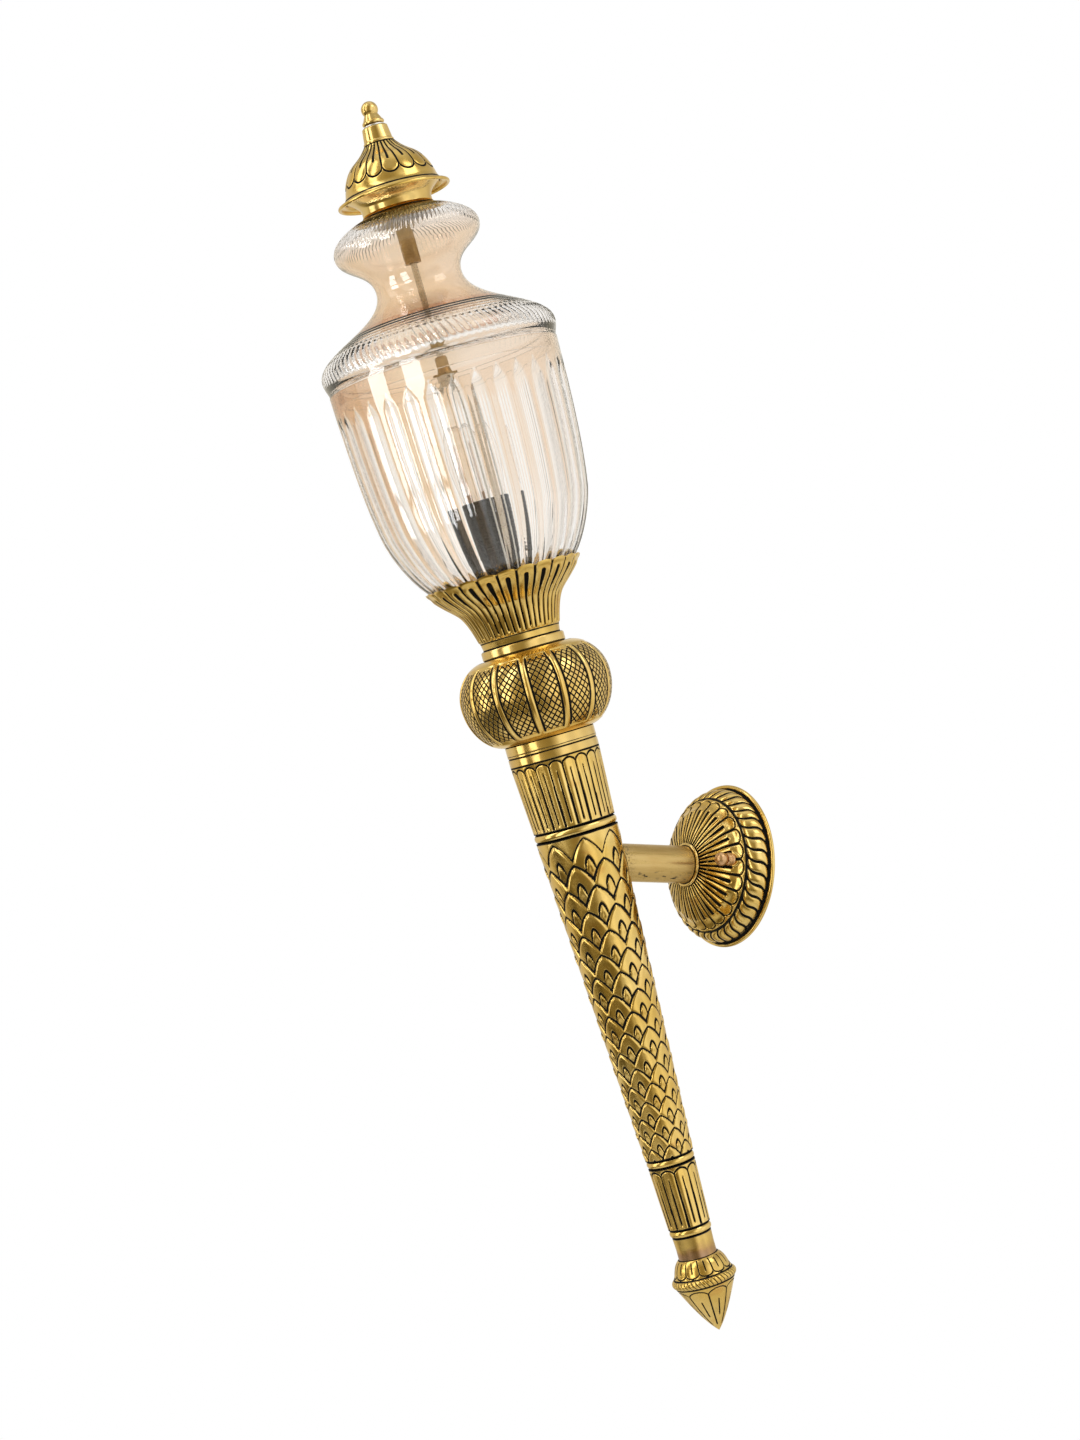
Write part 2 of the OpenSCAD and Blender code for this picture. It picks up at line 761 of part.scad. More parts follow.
// Height of the edge of row k over column i. Every other row is half a scale further round.
function scale_edge(k, i) =
    let (
        x = abs(((i + (k % 2) * scale_steps / 2) % scale_steps) / scale_steps * 2 - 1),
        row_h = tip_z(k) - tip_z(k + 1)
    )
    tip_z(k) - row_h * scale_drop * ogive(1 - x);

// Overlapping rows of pointed scales, tips up. Each row is a raised ring of edges,
// and a ring sunk by scale_lift close above it, where the next row starts.
module scales_body() {
    cols = scales * scale_steps;
    low = shaft_top - shaft_len;
    step_h = 0.35;
    points = [
        for (i = [0:cols - 1]) ring_point(i, cols, cone_r(low) - scale_lift / 2, low),
        for (k = [scale_rows:-1:0], sunk = [0, 1], i = [0:cols - 1])
            let (z = max(low + 0.2 * (scale_rows + 1 - k), scale_edge(k, i)) + sunk * step_h)
            ring_point(i, cols, cone_r(z) + 0.25 - sunk * scale_lift, z),
        for (i = [0:cols - 1]) ring_point(i, cols, shaft_r_top, shaft_top)
    ];
    polyhedron(points, ring_faces(len(points) / cols, cols));
}

function ring_point(i, cols, r, z) =
    let (a = scale_turn + 360 * i / cols)
    [r * cos(a), r * sin(a), z];

module scale_shaft() {
    z = shaft_top - shaft_len;
    web = 6;
    color(brass) on_torch() difference() {
        scales_body();
        rotate_extrude() polygon([
            [0, z + web], [shaft_r_bottom - cast_wall - scale_lift, z + web],
            [shaft_r_top - cast_wall - scale_lift, shaft_top + 1], [0, shaft_top + 1]
        ]);
        translate([0, 0, z - 1]) cylinder(r = tube_r, h = web + 2);
        arm_passage();
    }
}

// Where the arm's bore opens into the shaft
module arm_passage() {
    rotate([-tilt, 0, 0]) rotate([-90, 0, 0]) cylinder(r = bore_r, h = 60);
}

module lower_bead() {
    color(brass) on_torch() bead(shaft_r_bottom + 0.1, tube_r, low_bead_z, low_bead_h);
}

module lower_band() {
    color(brass) on_torch()
        petal_band(neck_r + 0.9, shaft_r_bottom - 0.3, low_band_z, low_band_h, 10, tube_r,
            low_band_turn);
}

module tail_bead() {
    color(brass) on_torch() bead(neck_r + 1, tube_r, tail_bead_z, tail_bead_h);
}

module tail_neck() {
    color("#8a6230") on_torch() rotate_extrude() polygon([
        [tube_r, neck_z], [neck_r - 0.2, neck_z], [neck_r + 0.1, tail_bead_z], [tube_r, tail_bead_z]
    ]);
}

module tail_finial() {
    rope_z = neck_z - 14;
    rope_r = 3;
    color(brass) on_torch() difference() {
        rotate_extrude() polygon(concat(
            [[0, tail_z]],
            curve([0, tail_z], [tail_r * 0.42, tail_z + tail_h * 0.17], [tail_r * 0.8, tail_z + tail_h * 0.5],
                [tail_r - 0.6, rope_z - rope_r], 8),
            arc([tail_r - rope_r * 0.55, rope_z], rope_r * 0.9, -70, 70, 6),
            [[tail_r - 0.7, rope_z + rope_r]],
            curve([tail_r - 0.7, rope_z + rope_r], [tail_r - 2.6, rope_z + 5.5], [tail_r - 2.2, neck_z - 3],
                [neck_r - 0.2, neck_z], 5),
            [[0, neck_z]]
        ));
        translate([0, 0, tube_bottom]) cylinder(r = tube_r, h = 60);
        rope_cuts(36, tail_r + 0.5, rope_z, 0, 35, 0.45, 9);
    }
}

// Hollow threaded tube that draws the stem together, with a slot where the lead comes in
module stem_tube() {
    color("#a8862f") on_torch() difference() {
        ring(tube_r, tube_r - tube_bore, tube_bottom, tube_top - tube_bottom);
        translate([-lead_r - 0.6, 0, -9]) cube([2 * lead_r + 1.2, tube_r + 2, 18]);
    }
}

// ---- arm and back plate ----

module arm_tube() {
    end = plate_depth - plate_wall - arm_nut_t - 1;
    color("#b99a4a") difference() {
        on_wall() ring(arm_r, bore_r, end, reach - end);
        on_torch() cylinder_cone(scale_lift);
    }
}

// The shaft's outer cone with some room round it, used to shape the arm's end
module cylinder_cone(room) {
    rotate_extrude() polygon([
        [0, shaft_top - shaft_len], [shaft_r_bottom + room, shaft_top - shaft_len],
        [shaft_r_top + room - 0.35, shaft_top], [shaft_r_top + 1, shaft_top],
        [shaft_r_top + 1, top_band_z + 20], [0, top_band_z + 20]
    ]);
}

module arm_collar() {
    color(brass) on_wall() bead(arm_r + 2, arm_r, plate_depth, 2);
}

module arm_nut() {
    color(brass) on_wall() ring(arm_r + 3.5, arm_r, plate_depth - plate_wall - arm_nut_t, arm_nut_t);
}

// Outline of the back plate, from the wall outwards: radius and depth
plate_side = concat(
    [[plate_r - 1, 0]],
    arc([plate_r - 1.3, 1.3], 1.3, -60, 100, 6),
    [[plate_r - 2.6, 2.2]],
    curve([plate_r - 2.6, 2.2], [plate_r - 1.6, 7], [dome_r + 3.4, dome_edge - 0.5], [dome_r, dome_edge], 5)
);

dome_side = concat(
    [[dome_r, dome_edge]],
    curve([dome_r, dome_edge], [dome_r - 4, dome_edge + 5], [dome_r * 0.7, plate_depth - 5.4],
        [dome_r * 0.48, plate_depth - 1.8], 7),
    [[arm_r + 1.5, plate_depth]]
);

module back_plate() {
    side = concat(plate_side, [for (i = [1:len(dome_side) - 1]) dome_side[i]]);
    wall = between(inset(side, plate_wall), 2.5, plate_depth - plate_wall);
    rope_mid = (plate_r - 2.6 + dome_r) / 2 + 1.6;
    petal_end = [dome_r * 0.43, lookup(dome_r * 0.43, dome_side)];
    color(brass) on_wall() difference() {
        union() {
            difference() {
                union() {
                    rotate_extrude() polygon(concat(
                        side, [[arm_r, plate_depth], [arm_r, plate_depth - plate_wall], [18, plate_depth - plate_wall]],
                        reversed(wall), [[wall[0].x, 0]]
                    ));
                    for (side_x = [-1, 1])
                        nut_boss(side_x * stud_x);
                }
                grooves(concat(between(dome_side, dome_edge + 1.5, plate_depth - 1), [petal_end]),
                    plate_petals, 1.8, 0.8);
                grooves(concat(between(dome_side, dome_edge + 6, plate_depth - 1), [petal_end]),
                    plate_petals, 1.4, 0.6, 180 / plate_petals);
                rope_cuts(rope_lobes, rope_mid, dome_edge * 0.56, -32, 40, 0.9, 12);
            }
            for (side_x = [-1, 1])
                translate([side_x * stud_x, 0, stud_seat - 4]) cylinder(r = pad_r, h = 6);
        }
        for (side_x = [-1, 1]) {
            translate([side_x * stud_x, 0, stud_seat]) cylinder(r = pad_r + 0.3, h = plate_depth);
            translate([side_x * stud_x, 0, 5]) cylinder(r = stud_r + 0.3, h = plate_depth);
        }
    }
}

// Thickened wall behind a ball nut, kept within the dome's own wall
module nut_boss(x) {
    intersection() {
        translate([x, 0, stud_seat - 5.5]) cylinder(r = pad_r + 1.8, h = plate_depth);
        rotate_extrude() polygon(concat(inset(dome_side, plate_wall / 2), [[0, plate_depth - 4], [0, dome_edge - 2]]));
    }
}

module wall_bracket() {
    color("#b9bcc0") on_wall() difference() {
        union() {
            translate([-bracket_end + bracket_end_r, -bracket_w / 2, 0])
                cube([2 * (bracket_end - bracket_end_r), bracket_w, bracket_t]);
            for (side = [-1, 1])
                translate([side * (bracket_end - bracket_end_r), 0, 0]) cylinder(r = bracket_end_r, h = bracket_t);
        }
        for (side = [-1, 1]) {
            translate([side * screw_spacing / 2, 0, -1]) slot(screw_r, slot_len, bracket_t + 2);
            translate([side * stud_x, 0, -1]) cylinder(r = stud_r, h = bracket_t + 2);
        }
        translate([0, 0, -1]) cylinder(r = entry_r, h = bracket_t + 2);
        translate([earth_x, 0, -1]) cylinder(r = 1.5, h = bracket_t + 2);
    }
}

// A slot along X with round ends
module slot(r, length, h) {
    run = length / 2 - r;
    for (side = [-1, 1])
        translate([side * run, 0, 0]) cylinder(r = r, h = h);
    translate([-run, -r, 0]) cube([2 * run, 2 * r, h]);
}

// Depth of the dome's surface under the ball nuts
stud_seat = lookup(stud_x, dome_side);

module studs() {
    color("#b9bcc0") on_wall() for (side = [-1, 1])
        translate([side * stud_x, 0, 0]) cylinder(r = stud_r, h = stud_seat + 4);
}

// Ball nut: a turned neck with two grooves, and a ball on it
module ball_nuts() {
    neck = ball_nut_r - 0.3;
    color(brass) on_wall() for (side = [-1, 1])
        translate([side * stud_x, 0, stud_seat]) difference() {
            union() {
                rotate_extrude() polygon([
                    [0, 0], [neck, 0], [neck, nut_neck_h * 0.3], [neck - 0.5, nut_neck_h * 0.4],
                    [neck, nut_neck_h * 0.5], [neck, nut_neck_h * 0.7], [neck - 0.5, nut_neck_h * 0.8],
                    [neck - 0.9, nut_neck_h], [0, nut_neck_h]
                ]);
                translate([0, 0, nut_neck_h + ball_nut_r * 0.86]) sphere(r = ball_nut_r, $fn = 48);
            }
            translate([0, 0, -1]) cylinder(r = stud_r, h = 5);
        }
}

module terminal_block() {
    color("#e9e6dc") on_wall() translate([block_x, -7, bracket_t]) difference() {
        cube([10, 14, 9]);
        for (row = [3.5, 10.5])
            translate([5, row, 5]) cylinder(r = 1.6, h = 5);
    }
}

module earth_screw() {
    color("#b08d3c") on_wall() translate([earth_x, 0, 0]) {
        cylinder(r = 1.5, h = bracket_t);
        translate([0, 0, bracket_t]) cylinder(r = 3.5, h = 2);
    }
}

// ---- internal lead ----

// Route of the lead from the terminal block, through the arm and up the stem tube
lead_straight = 2;
bend_r = block_x - lead_straight;
lead_drop = 1.4;
lead_end = holder_z + 10;
function to_world(y, z) = [0, -reach + y * cos(tilt) - z * sin(tilt), y * sin(tilt) + z * cos(tilt)];
turn_r = 27;
lead_turn = [
    for (w = [tilt:73 / 6:90])
        to_world(turn_r * (1 - sin(w)), turn_r * (cos(tilt) - cos(w)) - 12)
];
lead_route = concat(
    [[block_x, -bracket_t - 4.5, 0]],
    [
        for (w = [0:15:90])
            [bend_r * (1 - sin(w)), -bracket_t - 4.5 - bend_r * (1 - cos(w)), 0]
    ],
    [for (t = [1:4]) [0, -22 - t * 12, -t * lead_drop]],
    lead_turn,
    [for (t = [1:6]) to_world(0, 14 + (lead_end - 14) * t / 6)]
);

// Tube of 8 sides swept along the route
module lamp_lead() {
    n = len(lead_route);
    sides = 8;
    points = [
        for (k = [0:n - 1])
            let (
                d = lead_route[min(k + 1, n - 1)] - lead_route[max(k - 1, 0)],
                t = d / norm(d),
                u = cross(t, [0.6, 0.05, -0.8]) / norm(cross(t, [0.6, 0.05, -0.8])),
                v = cross(t, u)
            )
            each [for (i = [0:sides - 1]) lead_route[k] + lead_r * (cos(45 * i) * u + sin(45 * i) * v)]
    ];
    color("#e8e2d2") polyhedron(points, ring_faces(n, sides));
}

finial_ball();
finial_washer();
cap_collar();
cap_dome();
cap_seat();
seat_nut();
lid_nipple();
lid_washer();
lid_nut();
glass_lid();
glass_bowl();
bowl_gasket();
bowl_seat();
tie_rod();
harp();
harp_saddle();
claw_washer();
rod_nut();
rod_locknut();
bulb_globe();
bulb_cap();
bulb_filament();
holder_skirt();
holder_cap();
holder_shell();
holder_contact();
holder_nut();
petal_cup();
seat_spacer();
cup_ring();
knop();
stem_collar();
upper_band();
upper_bead();
scale_shaft();
lower_bead();
lower_band();
tail_bead();
tail_neck();
tail_finial();
stem_tube();
arm_tube();
arm_collar();
arm_nut();
back_plate();
wall_bracket();
studs();
ball_nuts();
terminal_block();
earth_screw();
lamp_lead();
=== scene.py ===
from math import cos, radians, sin

import bpy
import numpy as np
from mathutils import Matrix, Vector

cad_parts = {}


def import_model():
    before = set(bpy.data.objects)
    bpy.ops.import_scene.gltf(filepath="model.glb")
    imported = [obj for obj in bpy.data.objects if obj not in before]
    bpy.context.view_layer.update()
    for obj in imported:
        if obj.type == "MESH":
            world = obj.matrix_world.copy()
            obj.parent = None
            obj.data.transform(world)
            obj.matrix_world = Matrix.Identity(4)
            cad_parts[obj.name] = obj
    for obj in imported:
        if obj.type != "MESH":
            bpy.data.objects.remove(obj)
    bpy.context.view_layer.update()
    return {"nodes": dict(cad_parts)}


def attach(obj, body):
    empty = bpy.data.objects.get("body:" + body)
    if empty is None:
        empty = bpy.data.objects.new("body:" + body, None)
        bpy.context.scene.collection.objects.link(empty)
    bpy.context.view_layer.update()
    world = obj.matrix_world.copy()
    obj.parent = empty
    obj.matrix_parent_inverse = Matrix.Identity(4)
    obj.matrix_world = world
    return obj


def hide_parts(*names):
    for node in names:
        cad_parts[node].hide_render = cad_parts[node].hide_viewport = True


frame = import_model()
nodes = frame["nodes"]

# ---- sizes, in millimetres, as in the part's source ----

TAU = 2 * np.pi
TILT = radians(17)
REACH = 105.0
TUBE_R = 6.35

# Heights along the torch axis, from the tail up
TAIL_Z, ROPE_Z, TUBE_BOTTOM, NECK_Z = -292.0, -259.0, -260.04, -245.0
TAIL_BEAD_Z, LOW_BAND_Z, LOW_BEAD_Z, SHAFT_Z = -231.7, -226.4, -188.0, -183.0
SHAFT_TOP, TOP_BAND_Z, COLLAR_Z, KNOP_Z = 17.3, 23.0, 65.0, 77.8
RING_Z, CUP_Z, CUP_TOP, FOOT_Z = 130.4, 136.5, 178.0, 168.0
SKIRT_Z, SKIRT_TOP = 188.0, 223.0
SEAM_Z, LID_TOP, CAP_Z, CAP_TOP, CONE_TOP = 306.0, 402.5, 412.6, 444.6, 455.1

# Radii that several lines share
CAP_R, SEAT_R, FOOT_R, SHOULDER_R, WAIST_R, BULGE_R = 33.4, 21.5, 34.6, 72.2, 26.4, 44.9
KNOP_R, COLLAR_R, RING_R, CUP_NECK_R, ARM_R, PLATE_R = 46.4, 27.5, 25.6, 24.6, 11.5, 49.0
SKIRT_R, ROPE_R = 18.7, 17.15
SPIGOT_IN_R, SPIGOT_R, SPIGOT_DROP = 62.7, 65.7, 7
GLASS, CAP_WALL = 3, 1.4  # wall thickness

# How often each ornament repeats round its piece, and its turn in degrees
CAP_PETALS, CUP_PETALS, KNOP_RIBS, PLATE_PETALS = 16, 24, 14, 24
TOP_PETALS, LOW_PETALS, SCALES, CONE_PETALS, TAIL_PETALS = 20, 10, 8, 8, 12
FLUTES, REEDS, TAIL_STRANDS, PLATE_STRANDS = 32, 96, 44, 40
FLUTE_TURN, CAP_TURN, CUP_TURN, KNOP_TURN, PLATE_TURN = 2.2, -5.3, -1.5, 11.9, 7.5
TOP_BAND_TURN, SCALE_TURN, LOW_BAND_TURN, CONE_TURN, TAIL_TURN = 8.1, 16.6, 0.8, 9.4, -27.0

# Rows of scales up the shaft, and the radii over which their height shrinks
SCALE_ROWS, SCALE_TOP_R, SCALE_LOW_R = 17, 25.1, 14.7
# Turned rings on the lid's shoulder: length of the run, and pitch
RINGS_LENGTH, RING_PITCH = 15.2, 3.8


def on_torch(p):
    """Points drawn about the torch axis, in mm, to the row frame, in m."""
    c, s = cos(TILT), sin(TILT)
    x, y, z = p[..., 0], p[..., 1], p[..., 2]
    return np.stack([x, y * c - z * s - REACH, y * s + z * c], -1) * 0.001


def on_wall(p):
    """Points drawn along +Z out of the wall, in mm, to the row frame, in m."""
    return np.stack([p[..., 0], -p[..., 2], p[..., 1]], -1) * 0.001


# ---- profiles ----


def curve(a, b, c, d, n=240):
    """Points of a cubic curve, without its first."""
    t = np.linspace(0, 1, n + 1)[1:, None]
    a, b, c, d = (np.array(v, float) for v in (a, b, c, d))
    u = 1 - t
    return u**3 * a + 3 * u * u * t * b + 3 * u * t * t * c + t**3 * d


def arc(c, r, start, end, n=12):
    """Points of an arc round c, angles in degrees."""
    w = np.radians(np.linspace(start, end, n + 1))
    return np.stack([c[0] + r * np.cos(w), c[1] + r * np.sin(w)], -1)


def path(*parts):
    """Joins points and runs of points into one profile."""
    return np.vstack([np.atleast_2d(np.array(p, float)) for p in parts])


def bends(start, *curves):
    """A point and the cubic curves that follow it, each given by its other three points."""
    parts = [start]
    for points in curves:
        parts.append(curve(start, *points))
        start = points[-1]
    return path(*parts)


def bore(low, high, r=TUBE_R):
    """The wall of a hole, from its top down."""
    return path([r, high], [r, low])


def wall(side, t, low, high):
    """The inside of a wall of thickness t, from one height down to another."""
    d = np.gradient(side, axis=0)
    n = np.stack([d[:, 1], -d[:, 0]], -1)
    p = side - t * n / np.maximum(np.linalg.norm(n, axis=1), 1e-9)[:, None]
    return p[(p[:, 1] >= low) & (p[:, 1] <= high)][::-1]


class Side:
    """A profile measured along its length, in mm."""

    def __init__(self, points):
        keep = np.r_[True, np.linalg.norm(np.diff(points, axis=0), axis=1) > 1e-6]
        self.p = points[keep]
        self.s = np.r_[0, np.cumsum(np.linalg.norm(np.diff(self.p, axis=0), axis=1))]
        self.length = self.s[-1]

    def at(self, s):
        return np.interp(s, self.s, self.p[:, 0]), np.interp(s, self.s, self.p[:, 1])

    def length_at(self, z):
        return float(np.interp(z, self.p[:, 1], self.s))

    def normal(self, s, e=0.15):
        r0, z0 = self.at(np.clip(s - e, 0, self.length))
        r1, z1 = self.at(np.clip(s + e, 0, self.length))
        span = np.maximum(np.hypot(r1 - r0, z1 - z0), 1e-9)
        return (z1 - z0) / span, -(r1 - r0) / span

    def rows(self, n, fine=(), samples=4000, corner=0.35):
        """n places, closer together by a factor within each (low, high, factor) of fine,
        the nearest one moved onto each corner (a turn in radians)."""
        q = np.linspace(0, self.length, samples)
        dense = np.ones(samples)
        for low, high, factor in fine:
            dense[(q >= low) & (q <= high)] = factor
        total = np.r_[0, np.cumsum((dense[1:] + dense[:-1]) / 2)]
        s = np.interp(np.linspace(0, total[-1], n), total, q)
        d = np.diff(self.p, axis=0)
        a = np.unwrap(np.arctan2(d[:, 1], d[:, 0]))
        for k in np.nonzero(abs(np.diff(a)) > corner)[0]:
            i = int(abs(s - self.s[k + 1]).argmin())
            if 0 < i < n - 1:
                s[i] = self.s[k + 1]
        return s


# ---- relief helpers: distances in mm, strengths from 0 to 1 ----


def most(*values):
    """The greatest of several strengths, place by place."""
    return np.maximum.reduce(values)


def unit(x):
    """Limited to 0 and 1."""
    return np.clip(x, 0, 1)


def cell(th, count, turn):
    """Place across a repeated ornament, from -0.5 to 0.5, 0 at its middle."""
    return (th * count / TAU - turn * count / 360 + 0.5) % 1 - 0.5


def petals(th, r, count, turn):
    """Place across each petal, the petal's width, and the distance to its edge."""
    a = cell(th, count, turn)
    width = TAU * r / count
    return a, width, (0.5 - abs(a)) * width


def hood(a, power):
    """The round end of a petal: 0 at its middle, 1 at its edges."""
    return 1 - np.sqrt(unit(1 - abs(2 * a) ** power))


def bell(x, middle, width):
    """1 at the middle, fading out on both sides."""
    return np.exp(-(((x - middle) / width) ** 2))


def step(x, low, high):
    t = unit((x - low) / (high - low))
    return t * t * (3 - 2 * t)


def cut(d, width):
    """A round-bottomed line of this full width at distance d from its middle."""
    return unit(1 - (2 * d / width) ** 2) ** 0.7


def ink(d, width):
    """Dark filling of a line, wider and softer than the cut itself."""
    return 1 - step(abs(d), width * 0.32, width * 0.75)


def both_ends(s, length, full, none):
    """1 near both ends, up to a distance full, and 0 beyond a distance none."""
    return most(1 - step(s, full, none), 1 - step(length - s, full, none))


def seam_lines(s, width):
    """Dark line at both ends of a band, where it meets its neighbours."""
    return both_ends(s, s.max(), width * 0.35, width)


def away(f, s, r, th):
    """Distance from the line f = 0, for f on a grid of rows s and columns th."""
    ds = np.gradient(s, axis=0)
    fs = np.gradient(f, axis=0) / np.where(abs(ds) < 1e-9, 1e-9, ds)
    step_th = TAU / th.shape[1]
    fa = (np.roll(f, -1, 1) - np.roll(f, 1, 1)) / (2 * step_th * np.maximum(r, 0.5))
    return f / np.sqrt(fs**2 + fa**2 + 1e-12)


def waver(th, s, seed):
    """Smooth unevenness of handwork, about -1 to 1, that closes round the axis."""
    rng = np.random.default_rng(seed)
    v = 0
    for _ in range(7):
        n = rng.integers(1, 9)
        v = v + np.sin(n * th + s * rng.uniform(-0.25, 0.25) + rng.uniform(0, 6.3))
    return v / 4


# ---- meshes ----


def lathe(name, side, back, cols, rows, relief, place=on_torch, trim=None, ends=False, back_rows=None,
          fine=()):
    """A closed turned piece: side runs upwards, back returns downwards.
    relief(th, s, r, z) gives raise in mm, and values of patina and lustre. trim is the share of
    the height kept at each column. ends closes both ends on the axis instead of joining them."""
    side = Side(side)
    th = (TAU * np.arange(cols) / cols)[None, :]
    share = np.ones((1, cols)) if trim is None else trim(th)
    s = side.rows(rows, fine)[:, None] * share
    r, z = side.at(s)
    nr, nz = side.normal(s)
    shaped = relief(np.broadcast_to(th, s.shape), s, r, z)
    h, patina, lustre = (np.broadcast_to(v, s.shape) for v in shaped)
    inner = Side(back[::-1])
    q = (inner.s if back_rows is None else inner.rows(back_rows))[::-1][:, None] * share
    g = np.concatenate([np.stack([r + nr * h, z + nz * h], -1), np.stack(inner.at(q), -1)])
    marks = np.concatenate([patina, np.zeros(q.shape)]).ravel()
    shine = np.concatenate([lustre, np.full(q.shape, -1.0)]).ravel()
    n = len(g)
    v = np.stack([g[..., 0] * np.cos(th), g[..., 0] * np.sin(th), g[..., 1]], -1).reshape(-1, 3)
    ring = np.arange(n - 1 if ends else n)[:, None]
    i, k = ring * cols, (ring + 1) % n * cols
    a = np.arange(cols)[None, :]
    b = (a + 1) % cols
    quads = np.stack([i + a, i + b, k + b, k + a], -1).reshape(-1, 4)
    tris = np.zeros((0, 3), int)
    if ends:
        first, last, top = len(v), len(v) + 1, (n - 1) * cols
        v = np.vstack([v, [[0, 0, g[0, :, 1].mean()]], [[0, 0, g[-1, :, 1].mean()]]])
        low = np.stack([np.full(cols, first), b[0], a[0]], -1)
        high = np.stack([np.full(cols, last), top + a[0], top + b[0]], -1)
        tris = np.vstack([low, high])
        marks, shine = np.r_[marks, 0, 0], np.r_[shine, shine[0], shine[-1]]
    return mesh_object(name, place(v), quads, tris, {"patina": marks, "lustre": shine})


def mesh_object(name, v, quads, tris, values):
    """A smooth mesh of quads and triangles, with a value of each attribute at each point."""
    me = bpy.data.meshes.new(name)
    loops = np.concatenate([quads.ravel(), tris.ravel()]).astype(np.int32)
    starts = np.concatenate([np.arange(len(quads)) * 4, len(quads) * 4 + np.arange(len(tris)) * 3])
    me.vertices.add(len(v))
    me.vertices.foreach_set("co", v.astype(np.float32).ravel())
    me.loops.add(len(loops))
    me.loops.foreach_set("vertex_index", loops)
    me.polygons.add(len(starts))
    me.polygons.foreach_set("loop_start", starts.astype(np.int32))
    me.update(calc_edges=True)
    me.validate()
    for key, x in values.items():
        attr = me.attributes.new(key, "FLOAT", "POINT")
        attr.data.foreach_set("value", np.ascontiguousarray(x, np.float32))
    me.shade_smooth()
    me.set_sharp_from_angle(angle=radians(50))
    return shown(name, me)


def shown(name, data):
    """A new object in the scene."""
    o = bpy.data.objects.new(name, data)
    bpy.context.scene.collection.objects.link(o)
    return o


# ---- materials ----


class Tree:
    """A node tree with short names for the nodes used here."""

    def __init__(self, owner):
        owner.use_nodes = True
        self.t = owner.node_tree

    def join(self, sock, value):
        """Links a socket to an output, or sets its value. A colour is given without alpha."""
        if isinstance(value, bpy.types.NodeSocket):
            self.t.links.new(value, sock)
        else:
            sock.default_value = (*value, 1.0) if sock.type == "RGBA" else value

    def node(self, kind, **inputs):
        """A new node. Inputs go by name, with _ for a space, or by number, as i0, i1."""
        n = self.t.nodes.new(kind)
        for key, value in inputs.items():
            self.join(n.inputs[int(key[1:]) if key[1:].isdigit() else key.replace("_", " ")], value)
        return n

    def math(self, op, a, b=0.0, **more):
        n = self.node("ShaderNodeMath", i0=a, i1=b, **more)
        n.operation = op
        return n.outputs[0]

    def plus(self, a, b):
        return self.math("ADD", a, b)

    def minus(self, a, b):
        return self.math("SUBTRACT", a, b)

    def times(self, a, b):
        return self.math("MULTIPLY", a, b)

    def span(self, x, low, high, to_low=0.0, to_high=1.0, smooth=False):
        ranges = {"From_Min": low, "From_Max": high, "To_Min": to_low, "To_Max": to_high}
        n = self.node("ShaderNodeMapRange", Value=x, **ranges)
        if smooth:
            n.interpolation_type = "SMOOTHSTEP"
        return n.outputs[0]

    def mix(self, fac, a, b):
        n = self.t.nodes.new("ShaderNodeMix")
        n.data_type = "RGBA"
        for index, value in ((0, fac), (6, a), (7, b)):
            self.join(n.inputs[index], value)
        return n.outputs[2]

    def parts(self, vector):
        return self.node("ShaderNodeSeparateXYZ", Vector=vector).outputs


class Paint(Tree):
    """A material round one principled shader."""

    def __init__(self, name, **fixed):
        self.mat = bpy.data.materials.new(name)
        super().__init__(self.mat)
        self.bsdf = next(n for n in self.t.nodes if n.type == "BSDF_PRINCIPLED")
        self.put(**fixed)

    def put(self, **values):
        for key, x in values.items():
            self.join(self.bsdf.inputs[key.replace("_", " ")], x)

    def place(self):
        return self.node("ShaderNodeTexCoord").outputs["Object"]

    def value(self, name):
        n = self.node("ShaderNodeAttribute")
        n.attribute_name = name
        return n.outputs["Fac"]

    def noise(self, scale, detail=3.0, rough=0.55, stretch=None, distortion=0.0):
        where = self.place()
        if stretch:
            where = self.node("ShaderNodeMapping", Vector=where, Scale=stretch).outputs[0]
        look = {"Scale": scale, "Detail": detail, "Roughness": rough, "Distortion": distortion}
        return self.node("ShaderNodeTexNoise", Vector=where, **look).outputs["Fac"]

    def patch(self, noise, low, high, share):
        """Patches of a noise, at a share of full strength."""
        return self.times(self.span(noise, low, high), share)

    def bump(self, height, strength, distance):
        n = self.node("ShaderNodeBump", Height=height, Strength=strength, Distance=distance)
        self.put(Normal=n.outputs[0])

    def darken(self, fill, colour, rough):
        """Brass where fill is 0, dull black patina where it is 1."""
        self.put(Base_Color=self.mix(fill, colour, DARK), Metallic=self.span(fill, 0.0, 1.0, 1.0, 0.15))
        self.put(Roughness=self.plus(rough, self.times(fill, 0.35)))
        self.put(Specular_IOR_Level=self.span(fill, 0.0, 1.0, 0.5, 0.12))


DARK = (0.006, 0.005, 0.004)
# Noise scales shared by the cast pieces: clouds of tone, patches and grain
CLOUDS, PATCHES, GRAIN = (28.0, 4.0), (140.0, 5.0, 0.6), (900.0, 3.0, 0.6)


